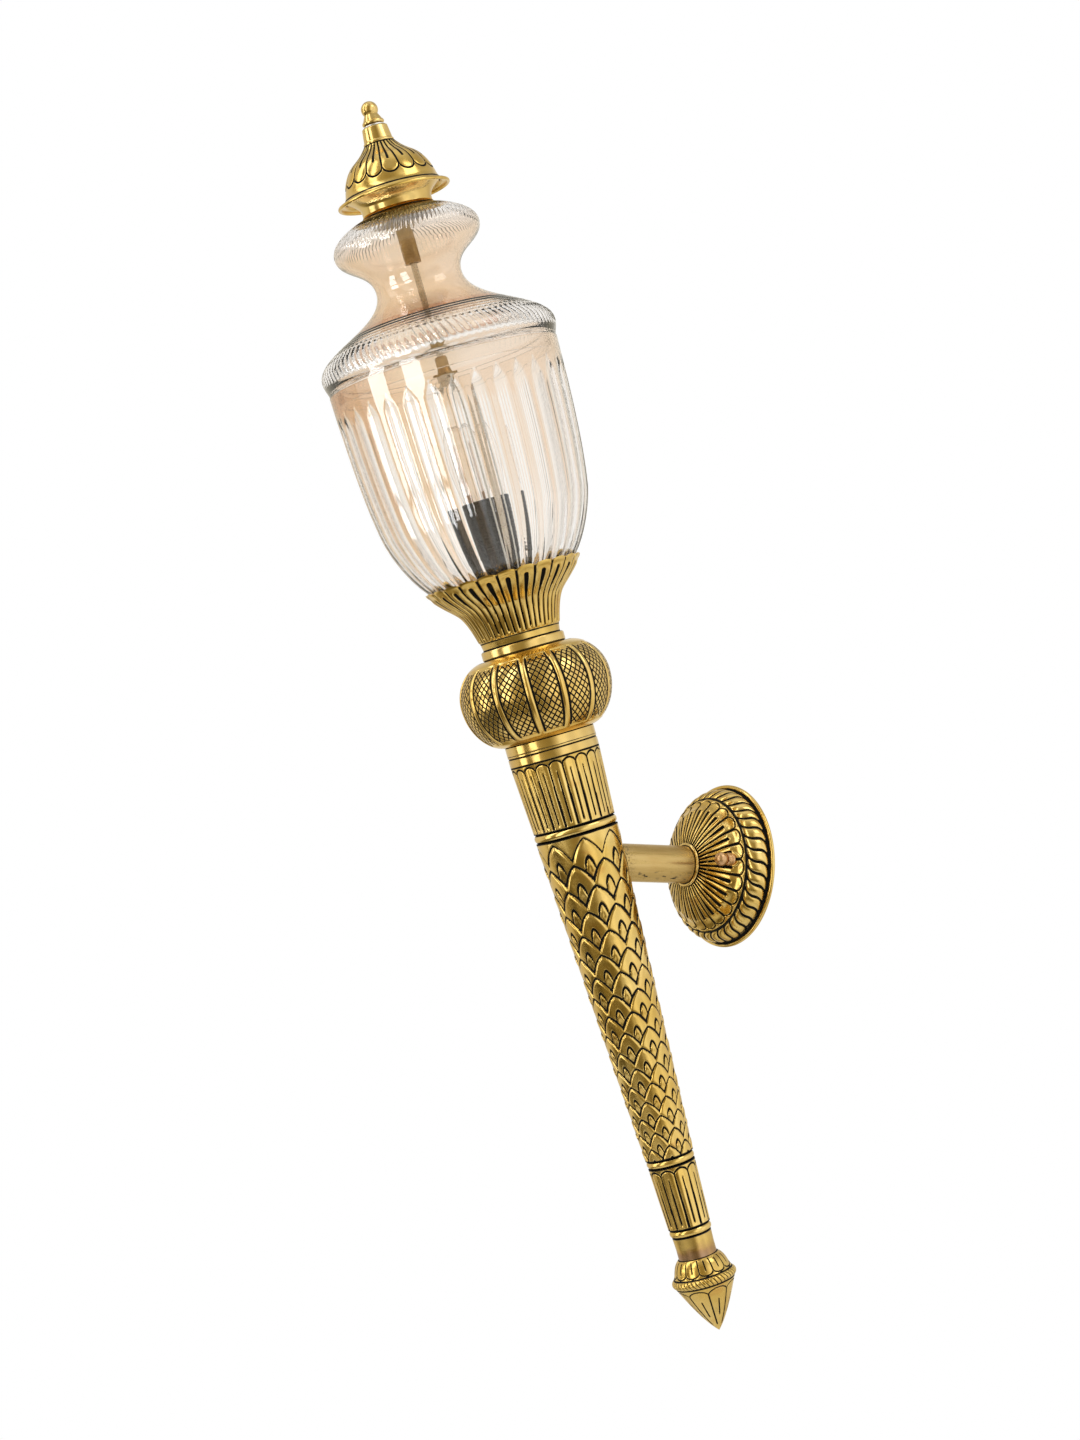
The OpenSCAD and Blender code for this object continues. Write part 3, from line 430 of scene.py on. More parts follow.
def brass(name, tone=(0.78, 0.515, 0.125), worn=(0.93, 0.68, 0.24), rough=0.16, stain=0.4, olive=0.25):
    """Antiqued brass: tone in the flats, dark filling where patina is high, patchy tarnish."""
    p = Paint(name, Coat_Roughness=0.10)
    big, mid, fine = p.noise(*CLOUDS), p.noise(*PATCHES), p.noise(*GRAIN)
    colour = p.mix(p.span(big, 0.38, 0.66), tone, worn)
    colour = p.mix(p.patch(p.noise(45.0, 3.0), 0.45, 0.75, olive), colour, (0.52, 0.40, 0.11))
    rusty = p.patch(p.noise(75.0, 3.0, 0.5, None, 0.6), 0.60, 0.74, stain)
    colour = p.mix(rusty, colour, (0.62, 0.29, 0.06))
    colour = p.mix(p.patch(mid, 0.56, 0.78, 0.35 * stain), colour, (0.16, 0.11, 0.035))
    mark = p.plus(p.value("patina"), p.span(mid, 0.25, 0.75, -0.16, 0.16))
    fill = p.span(mark, 0.26, 0.58)
    polish = p.plus(p.span(mid, 0.3, 0.75, rough - 0.06, rough + 0.12), p.span(fine, 0.3, 0.7, -0.03, 0.04))
    p.darken(fill, colour, polish)
    p.put(Coat_Weight=p.span(fill, 0.0, 0.6, 0.15, 0.0))
    p.bump(p.plus(p.times(mid, 0.8), p.times(fine, 0.2)), 0.14, 0.00022)
    return p.mat


def hatched_brass():
    """The knop's brass: crossed diagonal cuts on the panels, read from its own unwrapped places."""
    p = Paint("hatched_brass")
    big, mid = p.noise(*CLOUDS), p.noise(*PATCHES)
    uv = p.node("ShaderNodeUVMap")
    uv.uv_map = "panel"
    u, v, _ = p.parts(uv.outputs[0])
    wave = p.span(p.noise(70.0, 2.0), 0.2, 0.8, -1.3, 1.3)
    lines = []
    for slope, pitch in ((1.25, 2.9), (-1.25, 3.1)):
        d = p.plus(p.plus(v, p.times(u, slope)), wave)
        d = p.math("DIVIDE", d, pitch * 1.6)
        f = p.math("ABSOLUTE", p.minus(p.math("FRACT", p.plus(d, 100.0)), 0.5))
        lines.append(p.span(f, 0.10, 0.16, 1.0, 0.0))
    cuts = p.times(p.math("MAXIMUM", *lines), p.value("lustre"))
    mark = p.plus(p.math("MAXIMUM", cuts, p.value("patina")), p.span(mid, 0.25, 0.75, -0.10, 0.10))
    colour = p.mix(p.span(big, 0.38, 0.66), (0.84, 0.56, 0.15), (0.96, 0.71, 0.26))
    colour = p.mix(p.patch(p.noise(60.0, 3.0), 0.55, 0.72, 0.4), colour, (0.60, 0.34, 0.12))
    p.darken(p.span(mark, 0.25, 0.60), colour, p.span(mid, 0.3, 0.75, 0.12, 0.24))
    p.bump(p.minus(p.times(mid, 0.1), cuts), 1.0, 0.0005)
    return p.mat


def raw_brass():
    """The arm: drawn tube with lengthways wear, black pits and flux marks by the shaft."""
    p = Paint("raw_brass")
    drawn, big = p.noise(60.0, 4.0, 0.6, (9.0, 0.5, 9.0)), p.noise(35.0, 4.0)
    colour = p.mix(p.span(drawn, 0.35, 0.7), (0.60, 0.42, 0.15), (0.72, 0.52, 0.22))
    colour = p.mix(p.patch(big, 0.5, 0.75, 0.35), colour, (0.50, 0.27, 0.08))
    _, y, z = p.parts(p.place())
    under = p.times(p.span(z, -0.0055, -0.0085), p.span(z, -0.0112, -0.0095))
    pits = p.times(p.span(p.noise(420.0, 2.0, 0.5, (1.0, 0.45, 1.0)), 0.60, 0.66), under)
    flux = p.times(p.span(p.noise(700.0, 4.0, 0.7), 0.50, 0.62), p.span(y, -0.074, -0.084))
    specks = p.span(p.noise(650.0, 2.0), 0.73, 0.77)
    dark = p.math("MAXIMUM", p.math("MAXIMUM", pits, p.times(flux, 0.85)), specks)
    p.put(Base_Color=p.mix(dark, colour, (0.02, 0.014, 0.008)))
    p.put(Roughness=p.plus(p.span(drawn, 0.3, 0.7, 0.24, 0.36), p.times(dark, 0.3)))
    p.put(Metallic=p.span(dark, 0.0, 1.0, 1.0, 0.2))
    p.bump(p.minus(p.times(drawn, 0.3), dark), 0.5, 0.0003)
    return p.mat


def heated_brass():
    """The neck over the tail: golden at its top, brown and purple where it was heated below."""
    p = Paint("heated_brass")
    mid, big = p.noise(150.0, 5.0, 0.6), p.noise(70.0, 4.0)
    low = p.plus(p.value("lustre"), p.span(big, 0.3, 0.7, -0.35, 0.35))
    colour = p.mix(p.span(low, 0.10, 0.75), (0.74, 0.51, 0.15), (0.46, 0.27, 0.12))
    colour = p.mix(p.patch(low, 0.6, 1.1, 0.5), colour, (0.40, 0.27, 0.20))
    fill = p.span(p.plus(p.value("patina"), p.span(mid, 0.25, 0.75, -0.16, 0.16)), 0.3, 0.66)
    p.put(Base_Color=p.mix(fill, colour, DARK), Metallic=p.span(fill, 0.0, 1.0, 1.0, 0.15))
    p.put(Roughness=p.span(mid, 0.3, 0.75, 0.16, 0.28))
    p.bump(mid, 0.15, 0.0002)
    return p.mat


def metal(name, colour, worn, rough):
    """Plain machined or plated metal."""
    p = Paint(name, Metallic=1.0)
    grain, spots = p.noise(180.0, 4.0, 0.6), p.noise(55.0, 3.0)
    wear = p.plus(p.times(grain, 0.5), p.times(spots, 0.5))
    p.put(Base_Color=p.mix(p.span(wear, 0.38, 0.62), colour, worn))
    p.put(Roughness=p.span(grain, 0.3, 0.7, rough, rough + 0.12))
    p.bump(grain, 0.2, 0.0001)
    return p.mat


def plain(name, colour, other, rough, bump=0.0001, scale=320.0, **fixed):
    """Moulded plastic, felt or cable sheath."""
    p = Paint(name, **fixed)
    grain = p.noise(scale, 4.0, 0.6)
    p.put(Base_Color=p.mix(p.span(grain, 0.35, 0.65), colour, other))
    p.put(Roughness=p.span(p.noise(90.0, 3.0), 0.3, 0.7, rough, min(rough + 0.15, 1.0)))
    p.bump(grain, 0.4, bump)
    return p.mat


def glass(name, clear, amber=None, deep=None, ior=1.46, **fixed):
    """Glass. Lustre 0 is cut through to clear glass, 1 is the amber skin, 2 its darkest lines."""
    p = Paint(name, Transmission_Weight=1.0, IOR=ior, Roughness=0.0, **fixed)
    cloud = p.noise(24.0, 3.0)
    if amber:
        skin = p.times(p.value("lustre"), p.span(cloud, 0.3, 0.7, 0.85, 1.0))
        tint = p.mix(p.span(skin, 0.0, 1.0), clear, amber)
        p.put(Base_Color=p.mix(p.span(skin, 1.0, 2.0), tint, deep))
    else:
        p.put(Base_Color=p.mix(p.span(cloud, 0.3, 0.7), clear, tuple(0.985 * c for c in clear)))
    p.bump(cloud, 0.1, 0.0003)
    return p.mat


AMBER, AMBER_DEEP, CUT_CLEAR = (0.81, 0.54, 0.30), (0.38, 0.10, 0.03), (0.975, 0.955, 0.925)
BLACK, BLACK_WORN = (0.008, 0.0085, 0.009), (0.014, 0.015, 0.016)

MAT = {
    "antique": brass("antique_brass"),
    "bright": brass("polished_brass", (0.80, 0.545, 0.17), (0.92, 0.69, 0.28), 0.14, 0.2, 0.15),
    "machined": metal("plain_brass", (0.60, 0.43, 0.17), (0.72, 0.55, 0.26), 0.26),
    "hatched": hatched_brass(),
    "raw": raw_brass(),
    "heated": heated_brass(),
    "steel": metal("plated_steel", (0.50, 0.50, 0.47), (0.68, 0.67, 0.62), 0.22),
    "aged": metal("aged_brass", (0.30, 0.22, 0.11), (0.46, 0.35, 0.17), 0.30),
    "washer": metal("pale_washer", (0.78, 0.78, 0.75), (0.86, 0.85, 0.82), 0.32),
    "copper": metal("copper_brass", (0.62, 0.36, 0.16), (0.78, 0.50, 0.27), 0.26),
    "amber": glass("amber_glass", CUT_CLEAR, AMBER, AMBER_DEEP, Coat_Weight=0.35, Coat_IOR=1.7),
    "clear": glass("clear_glass", (0.99, 0.98, 0.97), ior=1.35),
    "filament": plain("filament", (0.78, 0.46, 0.20), (0.62, 0.30, 0.12), 0.45),
    "black": plain("black_plastic", BLACK, BLACK_WORN, 0.16, 0.00005, Specular_IOR_Level=0.4),
    "pale": plain("pale_plastic", (0.80, 0.78, 0.71), (0.86, 0.84, 0.78), 0.45),
    "felt": plain("felt", (0.40, 0.35, 0.28), (0.56, 0.50, 0.42), 0.9, 0.0004, 700.0),
    "cable": plain("cable", (0.84, 0.82, 0.75), (0.88, 0.86, 0.80), 0.35),
}


def cover(o, mat):
    """Gives a piece its material alone."""
    o.data.materials.clear()
    o.data.materials.append(MAT[mat])


def turned(name, node, side, back, cols, rows, relief,
           mat="antique", body="root", slot="antique_brass", **more):
    """A turned piece in place of one CAD node, with its material and body. Its slot is not used."""
    o = lathe(name, side, back, cols, rows, relief, **more)
    cover(o, mat)
    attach(o, body)
    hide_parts(node)
    return o


# ---- relief of each piece ----


def cap_relief(th, s, r, z):
    """Petals with a dart in each, and a dark line round the flared rim."""
    up, top = s - cap_start, cap_length - (s - cap_start)
    a, width, edge = petals(th, r, CAP_PETALS, CAP_TURN + 0.4 * waver(th, s, 3))
    end = 3.2 + 5.6 * hood(a, 2)
    rim = away(up - end, s, r, th)
    split, dome = up > 8.0, up > 0
    dart_w = 1.35 - 0.45 * step(up, 12, 26)
    on = step(up, 12.0, 13.5) * step(top, 0.2, 1.5)
    lines = most(cut(rim, 0.8), cut(edge, 1.0) * split, cut(a * width, dart_w) * on)
    inside = step(up - end, 0, 2) * step(top, 0, 3)
    h = (0.30 * inside * (1 - (2 * a) ** 2) - 0.42 * lines) * dome
    mark = most(ink(rim, 1.1), ink(edge, 0.95) * split, ink(a * width, dart_w * 1.1) * on) * dome
    return h, most(mark, 1 - step(top, 0.3, 1.0), bell(up, -3.3, 0.9) * 0.75), 0


def cup_trim(th, drop=0.062, power=2.3):
    """Share of the cup's height at each bearing: full at a tip's middle, less between tips."""
    a = abs(2 * cell(th, CUP_PETALS, CUP_TURN))
    return 1 - drop * (1 - unit(1 - a**power) ** (1 / power))


def cup_relief(th, s, r, z):
    """Ridged petals with a widening dart, curled out at their tips."""
    a, width, edge = petals(th, r, CUP_PETALS, CUP_TURN + 0.3 * waver(th, s, 2))
    left = cup_length * cup_trim(th) - s
    low = step(s, 4.8, 6.2)
    divide_w = 1.1 + 0.9 * step(s, cup_length * 0.35, cup_length)
    dart_w = 1.15 + 2.0 * step(s, cup_length * 0.45, cup_length - 7)
    roof = away(left - 5.4 - 3.2 * (2 * a) ** 2, s, r, th)
    dart_on = step(roof, -0.2, 0.8) * step(s, 6.5, 8.5)
    divide = cut(edge, divide_w) * low
    dart = cut(a * width, dart_w) * dart_on
    lip = bell(left, 1.5, 1.6) * (1 - abs(2 * a) ** 2.5)
    ridge = unit(1 - (abs(abs(a) - 0.25) * 4) ** 2) * low * step(left, 3, 7)
    h = 0.45 * lip + 0.50 * ridge - 0.9 * divide - 1.0 * dart - 0.3
    lines = most(ink(edge, divide_w * 0.75) * low, ink(a * width, dart_w * 0.85) * dart_on)
    mark = most(lines, 1 - step(s, 0.3, 0.9), 0.75 * bell(s, 4.4, 0.5))
    return h, mark * step(left, 0.2, 1.0), 0


def knop_relief(th, s, r, z):
    """Rounded ribs between sunk panels. Its third value says where the hatching goes."""
    a, width, _ = petals(th, r, KNOP_RIBS, KNOP_TURN + 180 / KNOP_RIBS)
    rib = 1.9 + 0.25 * waver(th, s, 8)
    inner, half, left = abs(a) * width, width / 2 - rib, knop_length - s
    on = step(s, 6.5, 9.0) * step(left, 7.5, 10.5)
    panel = step(half - inner, 0, 0.5) * on
    border = cut(half - inner - 0.3, 1.3) * on
    across = unit((width / 2 - inner) / rib)
    h = -0.55 * panel - 0.4 * border - 0.75 * (1 - panel) * on * across**2.5
    h = h + 0.15 * panel * (1 - (inner / half) ** 2)
    mark = most(ink(half - inner - 0.35, 1.25) * on, both_ends(s, knop_length, 0.4, 1.2))
    hatch = step(half - inner, 0.9, 1.3) * step(s, 8.2, 9.6) * step(left, 10.0, 11.5)
    return h, mark, hatch


def band_relief(count, turn, z0, z1, dart_low, dart_high=0.84, arch=3.6, line=1.25, gap=1.6):
    """Upright petals with arched tops, dark lines between them and a dart in each. The dart's
    ends are shares of the height, gap is the plain strip above the arches."""
    height = z1 - z0

    def relief(th, s, r, z):
        up = (z - z0) / height
        a, width, edge = petals(th, r, count, turn + 180 / count + 0.25 * waver(th, s, count))
        top = height - gap - arch * hood(a, 1.7)
        roof = away(z - z0 - top, s, r, th)
        line_w = line * (0.75 + 0.5 * step(up, 0.9, 0.3))
        divide = cut(edge, line_w) * (z - z0 < height - gap - arch * 0.8) * step(up, 0.025, 0.06)
        dart_on = step(up, dart_low, dart_low + 0.05) * step(dart_high - up, 0, 0.05)
        dart_w = line * (0.85 - 0.35 * step(up, 0.4, dart_high))
        dart = cut(a * width, dart_w) * dart_on
        swell = 0.30 * np.cos(np.pi * a) - 0.07 * np.cos(4 * np.pi * a) - 0.25
        h = -0.6 * most(divide, cut(roof, line * 0.85)) - 0.6 * dart + step(-roof, 0, 0.8) * swell
        mark = most(ink(edge, line_w * 0.95) * (divide > 0), ink(roof, line * 0.85))
        mark = most(mark, ink(a * width, dart_w * 0.95) * dart_on, seam_lines(s, 1.0))
        return h * step(up, 0.0, 0.02), mark, 0

    return relief


def tip_z(k):
    """Height of the tips in row k, counted from the top."""
    r = SCALE_TOP_R * (SCALE_LOW_R / SCALE_TOP_R) ** ((k + 0.2) / SCALE_ROWS)
    return SHAFT_TOP - (SHAFT_TOP - SHAFT_Z) * (SCALE_TOP_R - r) / (SCALE_TOP_R - SCALE_LOW_R)


def scale_relief(th, s, r, z, arch=0.80, tongue=0.20, eye_at=0.70):
    """Overlapping pointed scales, each with a dark arch cut round a small raised tongue.
    arch, tongue and eye_at are shares of a row: drop to the side, half width, place of the arch."""
    half = np.pi * r / SCALES
    below, above = np.full(z.shape, 99.0), np.full(z.shape, 99.0)
    side, f, u, tall = (np.zeros(z.shape) for _ in range(4))
    for k in range(SCALE_ROWS + 2):
        row = tip_z(k) - tip_z(k + 1)
        a = 2 * cell(th + 0.010 * waver(th, z, 31 + k), SCALES, SCALE_TURN + 180 / SCALES * (k % 2))
        x = abs(a)
        top = tip_z(k) - row * arch * (0.44 * x + 0.56 * x * x) + 0.3 * waver(th, z, 60 + k) * row / 15
        flat = np.sqrt(1 + (arch * row * (0.44 + 1.12 * x) / half) ** 2)
        down = top - z
        here = down > 0
        below = np.where(here, down / flat, below)
        new = (down / row, a * half / row, x, row)
        f, u, side, tall = (np.where(here, v, old) for v, old in zip(new, (f, u, side, tall)))
        up = -down / flat
        above = np.where((up > 0) & (up < above), up, above)
    blank = below > 90
    scale = np.clip(tall / 13, 0.75, 1.15)
    rise = 0.85 * unit(1 - f / 1.5) + 0.55 * (1 - side**2)
    rise = rise - 0.55 * (1 - unit(below / (1.5 * scale))) ** 2
    v = f - eye_at
    q = abs(u) / tongue
    roof = (v - 0.30 * q**2.1) * tall / np.sqrt(1 + (3.15 * q**1.1) ** 2)
    legs = step(f, 1.16, 1.06) * step(q, 1.25, 1.05)
    eye_w = (1.75 - 0.80 * step(v, 0.05, 0.30)) * scale
    inside = step(roof, 0.4, 1.3) * step(f, 1.36, 1.04) * step(abs(u), tongue, 0.06)
    h = rise - 1.20 - 0.55 * (cut(roof - 0.1, eye_w) * legs) + 0.60 * inside
    line_w = (1.35 + 0.30 * waver(th, z, 90)) * scale
    h = h - 0.35 * (1 - step(above, 0.0, line_w * 1.5))
    h = np.where(blank, -0.12 - 0.5 * (1 - step(above, 0.0, 1.2)), h)
    crease = 1 - step(above, line_w * 0.75, line_w * 1.20)
    eye_ink = ink(roof - 0.1, eye_w * 1.05) * legs * ~blank
    return np.clip(h, -1.5, 0.24), most(crease, eye_ink, both_ends(s, s.max(), 0.3, 1.0)), 0


def tail_relief(th, s, r, z):
    """Long petals on the cone, a rope round the widest place, small petals above it."""
    # cone
    up, cone_h = z - TAIL_Z, ROPE_Z - 3 - TAIL_Z
    a, width, edge = petals(th, r, CONE_PETALS, CONE_TURN + 180 / CONE_PETALS)
    roof = away(up - (cone_h - 1.6 - 3.4 * hood(a, 1.8)), s, r, th)
    on = (up < cone_h) * step(up, 3.0, 6.0)
    split = up < cone_h - 4.5
    divide = cut(edge, 0.9) * split * on
    dart_on = step(up, 9, 12) * step(cone_h - 8.0 - up, 0, 1.5)
    h = -on * (0.4 * most(divide, cut(roof, 0.8))) - 0.35 * (cut(a * width, 0.9) * dart_on)
    mark = most(on * ink(edge, 0.85) * split, on * ink(roof, 0.7), ink(a * width, 0.8) * dart_on)
    # rope
    half = 2.9
    strand = abs(((th * TAIL_STRANDS / TAU + (z - ROPE_Z) * 0.20) % 1) - 0.5)
    on_rope = step(unit(1 - abs(z - ROPE_Z) / half), 0.0, 0.35)
    h = h - 0.38 * step(strand, 0.30, 0.48) * on_rope
    border = abs(abs(z - ROPE_Z) - half)
    mark = most(mark, 0.85 * step(strand, 0.33, 0.46) * on_rope, 0.85 * (1 - step(border, 0.25, 0.7)))
    # small petals, round ends down
    b, width, edge = petals(th, r, TAIL_PETALS, TAIL_TURN)
    start = ROPE_Z + 3.9
    foot = away(z - (start + 2.6 * hood(b, 2)), s, r, th)
    over = (z > ROPE_Z + 3.2) * step(NECK_Z - z, 0.3, 1.2)
    dart_on = step(z, start + 2.2, start + 3.2) * step(NECK_Z - z, 0.8, 2.0)
    lines = most(cut(foot, 0.8), cut(edge, 0.8) * (z > start + 2.2), cut(b * width, 0.8) * dart_on)
    dark = most(ink(foot, 0.75), ink(edge, 0.75) * (z > start + 2.0), ink(b * width, 0.8) * dart_on)
    return h - over * 0.35 * lines, most(mark, over * dark, 1 - step(NECK_Z - z, 0.2, 0.7)), 0


def plate_relief(th, s, r, z):
    """Petals on the dome and the slanting strands of the rope round it."""
    t = s - dome_start
    left = dome_length - t
    on = t > 0
    a, width, edge = petals(th, r, PLATE_PETALS, PLATE_TURN + 0.35 * waver(th, s, 12))
    rim = away(t - (1.6 + 3.4 * hood(a, 2.2)), s, r, th)
    divide_w = 1.3 + 0.6 * step(t, 14, 4)
    divide = cut(edge, divide_w) * (t > 3.6) * step(left, 0.2, 1.0)
    dart_on = step(t, 8.0, 9.6) * step(left, 0.2, 1.0)
    dart_w = 2.1 - 1.0 * step(t, 9, 24)
    dart = cut(a * width, dart_w) * dart_on
    dish = bell(t, 5.2, 2.6) * (1 - (2 * a) ** 2)
    ridge = unit(1 - (abs(abs(a) - 0.27) * 4.4) ** 2) * step(t, 7, 10)
    swell = 0.35 * np.cos(np.pi * a) + 0.30 * ridge - 0.45
    h = on * (1.3 * swell - 0.7 * dish - 0.9 * most(divide, cut(rim, 1.0)) - 0.9 * dart)
    lines = most(on * ink(edge, divide_w * 0.9) * (t > 3.4), on * ink(rim, 0.75))
    lines = most(lines, ink(a * width, dart_w) * dart_on)
    # flat seats of the ball nuts, 34 mm from the plate's middle
    seat = np.hypot(r * np.cos(th) - np.sign(np.cos(th)) * 34, r * np.sin(th))
    h = h * step(seat, 4.0, 5.0)
    # rope
    on_rope = step(s, rope_start, rope_start + 0.8) * step(dome_start - s, 0.2, 1.0)
    across = (s - rope_start) / (dome_start - rope_start)
    bend = across + 0.13 * np.sin(TAU * across)
    lean = th * PLATE_STRANDS / TAU - 1.35 * bend + 0.08 * waver(th, s, 14)
    strand = abs((lean % 1) - 0.5)
    swell = np.sqrt(unit(1 - (2 * strand) ** 2))
    h = h + on_rope * (1.6 * swell * np.sin(np.pi * unit(across)) ** 0.6 - 1.5)
    dark = step(strand, 0.31, 0.44) + 0.8 * (1 - step(across, 0.04, 0.16)) + 0.8 * step(across, 0.88, 0.97)
    border = np.minimum(abs(s - rope_start), abs(s - dome_start))
    # darker on the low side, over the rim and the outer edge of the rope
    low = step(-np.sin(th), 0.2, 1.0) * step(s, 2.0, rope_start)
    low = 0.45 * low * (s < rope_start + 4) * (1 + 0.6 * waver(th, s, 15))
    mark = most(lines, on_rope * dark, 1 - step(border, 0.35, 0.85), low, 1 - step(left, 0.2, 0.8))
    return np.minimum(h, 0.1), mark, 0


def bowl_relief(th, s, r, z):
    """Flutes cut through the amber skin, with painted shade: deeper amber towards bearing -98, darker flute
    edges towards bearing -78.
    """
    a = 2 * abs(cell(th, FLUTES, FLUTE_TURN))
    long_ = step(SEAM_Z - 12.5 - z, 0, 11.0) ** 0.6 * step(z, FOOT_Z + 2, FOOT_Z + 8)
    wide = 0.70 * long_
    inside = unit(1 - (a / np.maximum(wide, 1e-3)) ** 2) * (long_ > 0.02)
    skin = np.where(long_ < 0.02, 1.0, step(a, wide * 0.90, wide * 0.90 + 0.16))
    fade = 0.55 + 0.45 * step(z, FOOT_Z + 8, SEAM_Z - 60)
    # painted shade: deeper amber towards bearing -98, for the dimmer room seen through the glass there
    painted_side_shade = 0.72 + 0.85 * unit(np.cos(th - radians(-98.0))) ** 2
    edge = bell(a, wide * 0.95, 0.07) * (long_ > 0.05)
    # painted shade: the flute edges are darker towards bearing -78
    line = 0.45 + 0.75 * step(np.cos(th - radians(-78.0)), 0.1, 0.9)
    return -(1.60 * wide**1.5) * inside, 0, np.minimum(skin * fade * painted_side_shade + line * edge * fade, 2.0)


def lid_relief(th, s, r, z):
    """Slanting reeds on both bulges, turned rings and a row of dots on the shoulder."""
    slant = 0.55
    t = s - lid_ring_s
    on_low = step(z, SEAM_Z + 6.0, SEAM_Z + 8) * step(SEAM_Z + 20.5 - z, 0, 1.5)
    h = 0.30 * on_low * (np.sin(REEDS * th + (z - SEAM_Z) * slant) - 1)
    on_high = step(z, LID_TOP - 19, LID_TOP - 15) * step(LID_TOP - 2.4 - z, 0, 1.5)
    h = h + 0.34 * on_high * (np.sin(REEDS * th - (z - LID_TOP) * slant) - 1)
    on_rings = step(t, 0, 0.5) * step(RINGS_LENGTH - t, 0, 0.5)
    wave = 0.5 - 0.5 * np.cos(TAU * t / RING_PITCH)
    dots = bell(z, SEAM_Z + 21.6, 0.8) * (0.5 + 0.5 * np.cos(REEDS * th))
    h = h - 0.45 * on_rings * wave**3 - 0.4 * dots
    neck = step(t, 14.5, 16) * step(LID_TOP - 7 - z, 0, 20)
    # painted shade: the neck's amber is deeper towards bearing -60
    painted_side_shade = 0.86 + 0.20 * np.cos(th - radians(-60.0))
    amber = (0.95 + 0.45 * bell(t, 24, 9)) * neck * painted_side_shade
    rings = on_rings * (0.7 * step(t, 0, 15) + 1.6 * wave**4)
    tint = amber + 2.8 * bell(t, 16.4, 2.4) + rings + 0.5 * step(SEAM_Z + 6.5 - z, 0, 3) + 0.05
    return h, 0, np.minimum(tint, 2.0)


def skirt_relief(th, s, r, z, pitch=2.4):
    """Thread ridges."""
    ridge = 0.5 + 0.5 * np.cos(TAU * (z + th / TAU * pitch) / pitch)
    return -0.8 * ridge * (step(s, 1.0, 2.0) * step(s.max() - s, 1.0, 2.0)), 0, 0


def plain_band(mark_width=0.8, strength=1.0, dents=0.05, seed=1):
    """A smooth band with dark seams."""
    return lambda th, s, r, z: (dents * (waver(th, s, seed) - 1), strength * seam_lines(s, mark_width), 0)


def bead_relief(seed):
    """A bead that darkens towards both seams."""

    def relief(th, s, r, z):
        full = s.max()
        dark = most(1 - step(s, 0.25 * full, 0.34 * full), 1 - step(full - s, 0.22 * full, 0.31 * full))
        return 0.10 * (waver(th, s, seed) - 1), dark, 0

    return relief


def collar_relief(th, s, r, z):
    """Two turned lines round the collar."""
    up = z - COLLAR_Z
    lines = most(bell(up, 5.4, 0.42), 0.7 * bell(up, 7.0, 0.25))
    return 0.04 * (waver(th, s, 4) - 1) - 0.12 * bell(up, 7.0, 0.3), most(lines, seam_lines(s, 0.8)), 0


def neck_relief(th, s, r, z):
    """Plain, with the strength of the heat colour as its third value."""
    return 0.05 * (waver(th, s, 6) - 1), seam_lines(s, 0.6) * (s > 2), 1 - step(z, NECK_Z - 1, NECK_Z + 11)


# ---- pieces ----

# cap
cap_curve = bends(
    [CAP_R, CAP_Z],
    ([30.7, CAP_Z + 1], [28.8, CAP_Z + 3.8], [28.2, CAP_Z + 6.2]),
    ([26.8, CAP_Z + 12.5], [24, CAP_Z + 18.9], [18.8, CAP_Z + 22.9]),
    ([15, CAP_Z + 25.6], [11.4, CAP_TOP - 3.6], [9.6, CAP_TOP]),
)
cap_outer = path(arc([CAP_R, CAP_Z], 1.1, -120, 75), cap_curve[cap_curve[:, 1] > CAP_Z + 0.9])
cap_start = Side(cap_outer).length_at(CAP_Z + 6.2)
cap_length = Side(cap_outer).length - cap_start
cap_inner = wall(cap_curve, CAP_WALL, CAP_Z + 0.6, CAP_TOP - 1.9)
cap_back = path(bore(CAP_TOP - CAP_WALL, CAP_TOP, 5.4), cap_inner, arc([CAP_R, CAP_Z], 1.1, 160, 230))
turned("cap_dome_relief", "cap_dome", cap_outer, cap_back, 448, 150, cap_relief, body="lid", back_rows=66)

cone = path([9.2, CAP_TOP], [9.4, CAP_TOP + 1.2], [8.8, CAP_TOP + 2],
            [7.8, CONE_TOP - 0.6], [7.2, CONE_TOP])
turned("cap_collar_turned", "cap_collar", cone, bore(CAP_TOP, CONE_TOP, 2.5), 128, 40, plain_band(0.5, 0.9),
       "bright", "lid")

seat_flare = bends([SEAT_R, 4], ([21.6, 8], [25.9, 10.3], [28.7, 11.7]))
seat_side = path([22.8, 0], [SEAT_R, 1.5], seat_flare) + [0, LID_TOP]
seat_inner = wall(seat_side, CAP_WALL, LID_TOP + 2, CAP_TOP)
seat_back = path(seat_inner, [19.8, LID_TOP + CAP_WALL], bore(LID_TOP, LID_TOP + CAP_WALL, 5.0))
turned("cap_seat_turned", "cap_seat", seat_side, seat_back, 160, 60, plain_band(0.5, 0.8),
       "bright", "lid", "polished_brass", back_rows=40)

# glass
bowl_side = path(
    [FOOT_R, FOOT_Z],
    bends(
        [FOOT_R, FOOT_Z + 2],
        ([49.98, FOOT_Z + 8], [61.5, FOOT_Z + 36], [63.7, FOOT_Z + 48]),
        ([68.6, FOOT_Z + 75], [69.6, SEAM_Z - 26], [70.3, SEAM_Z]),
    ),
)
bowl_inner = wall(bowl_side, GLASS, FOOT_Z + GLASS, SEAM_Z - 1)
bowl_back = path([67.3, SEAM_Z], bowl_inner, bore(FOOT_Z, FOOT_Z + GLASS, 29))
turned("bowl_fluted", "glass_bowl", bowl_side, bowl_back, 512, 128, bowl_relief,
       "amber", "bowl", "amber_glass", back_rows=34)

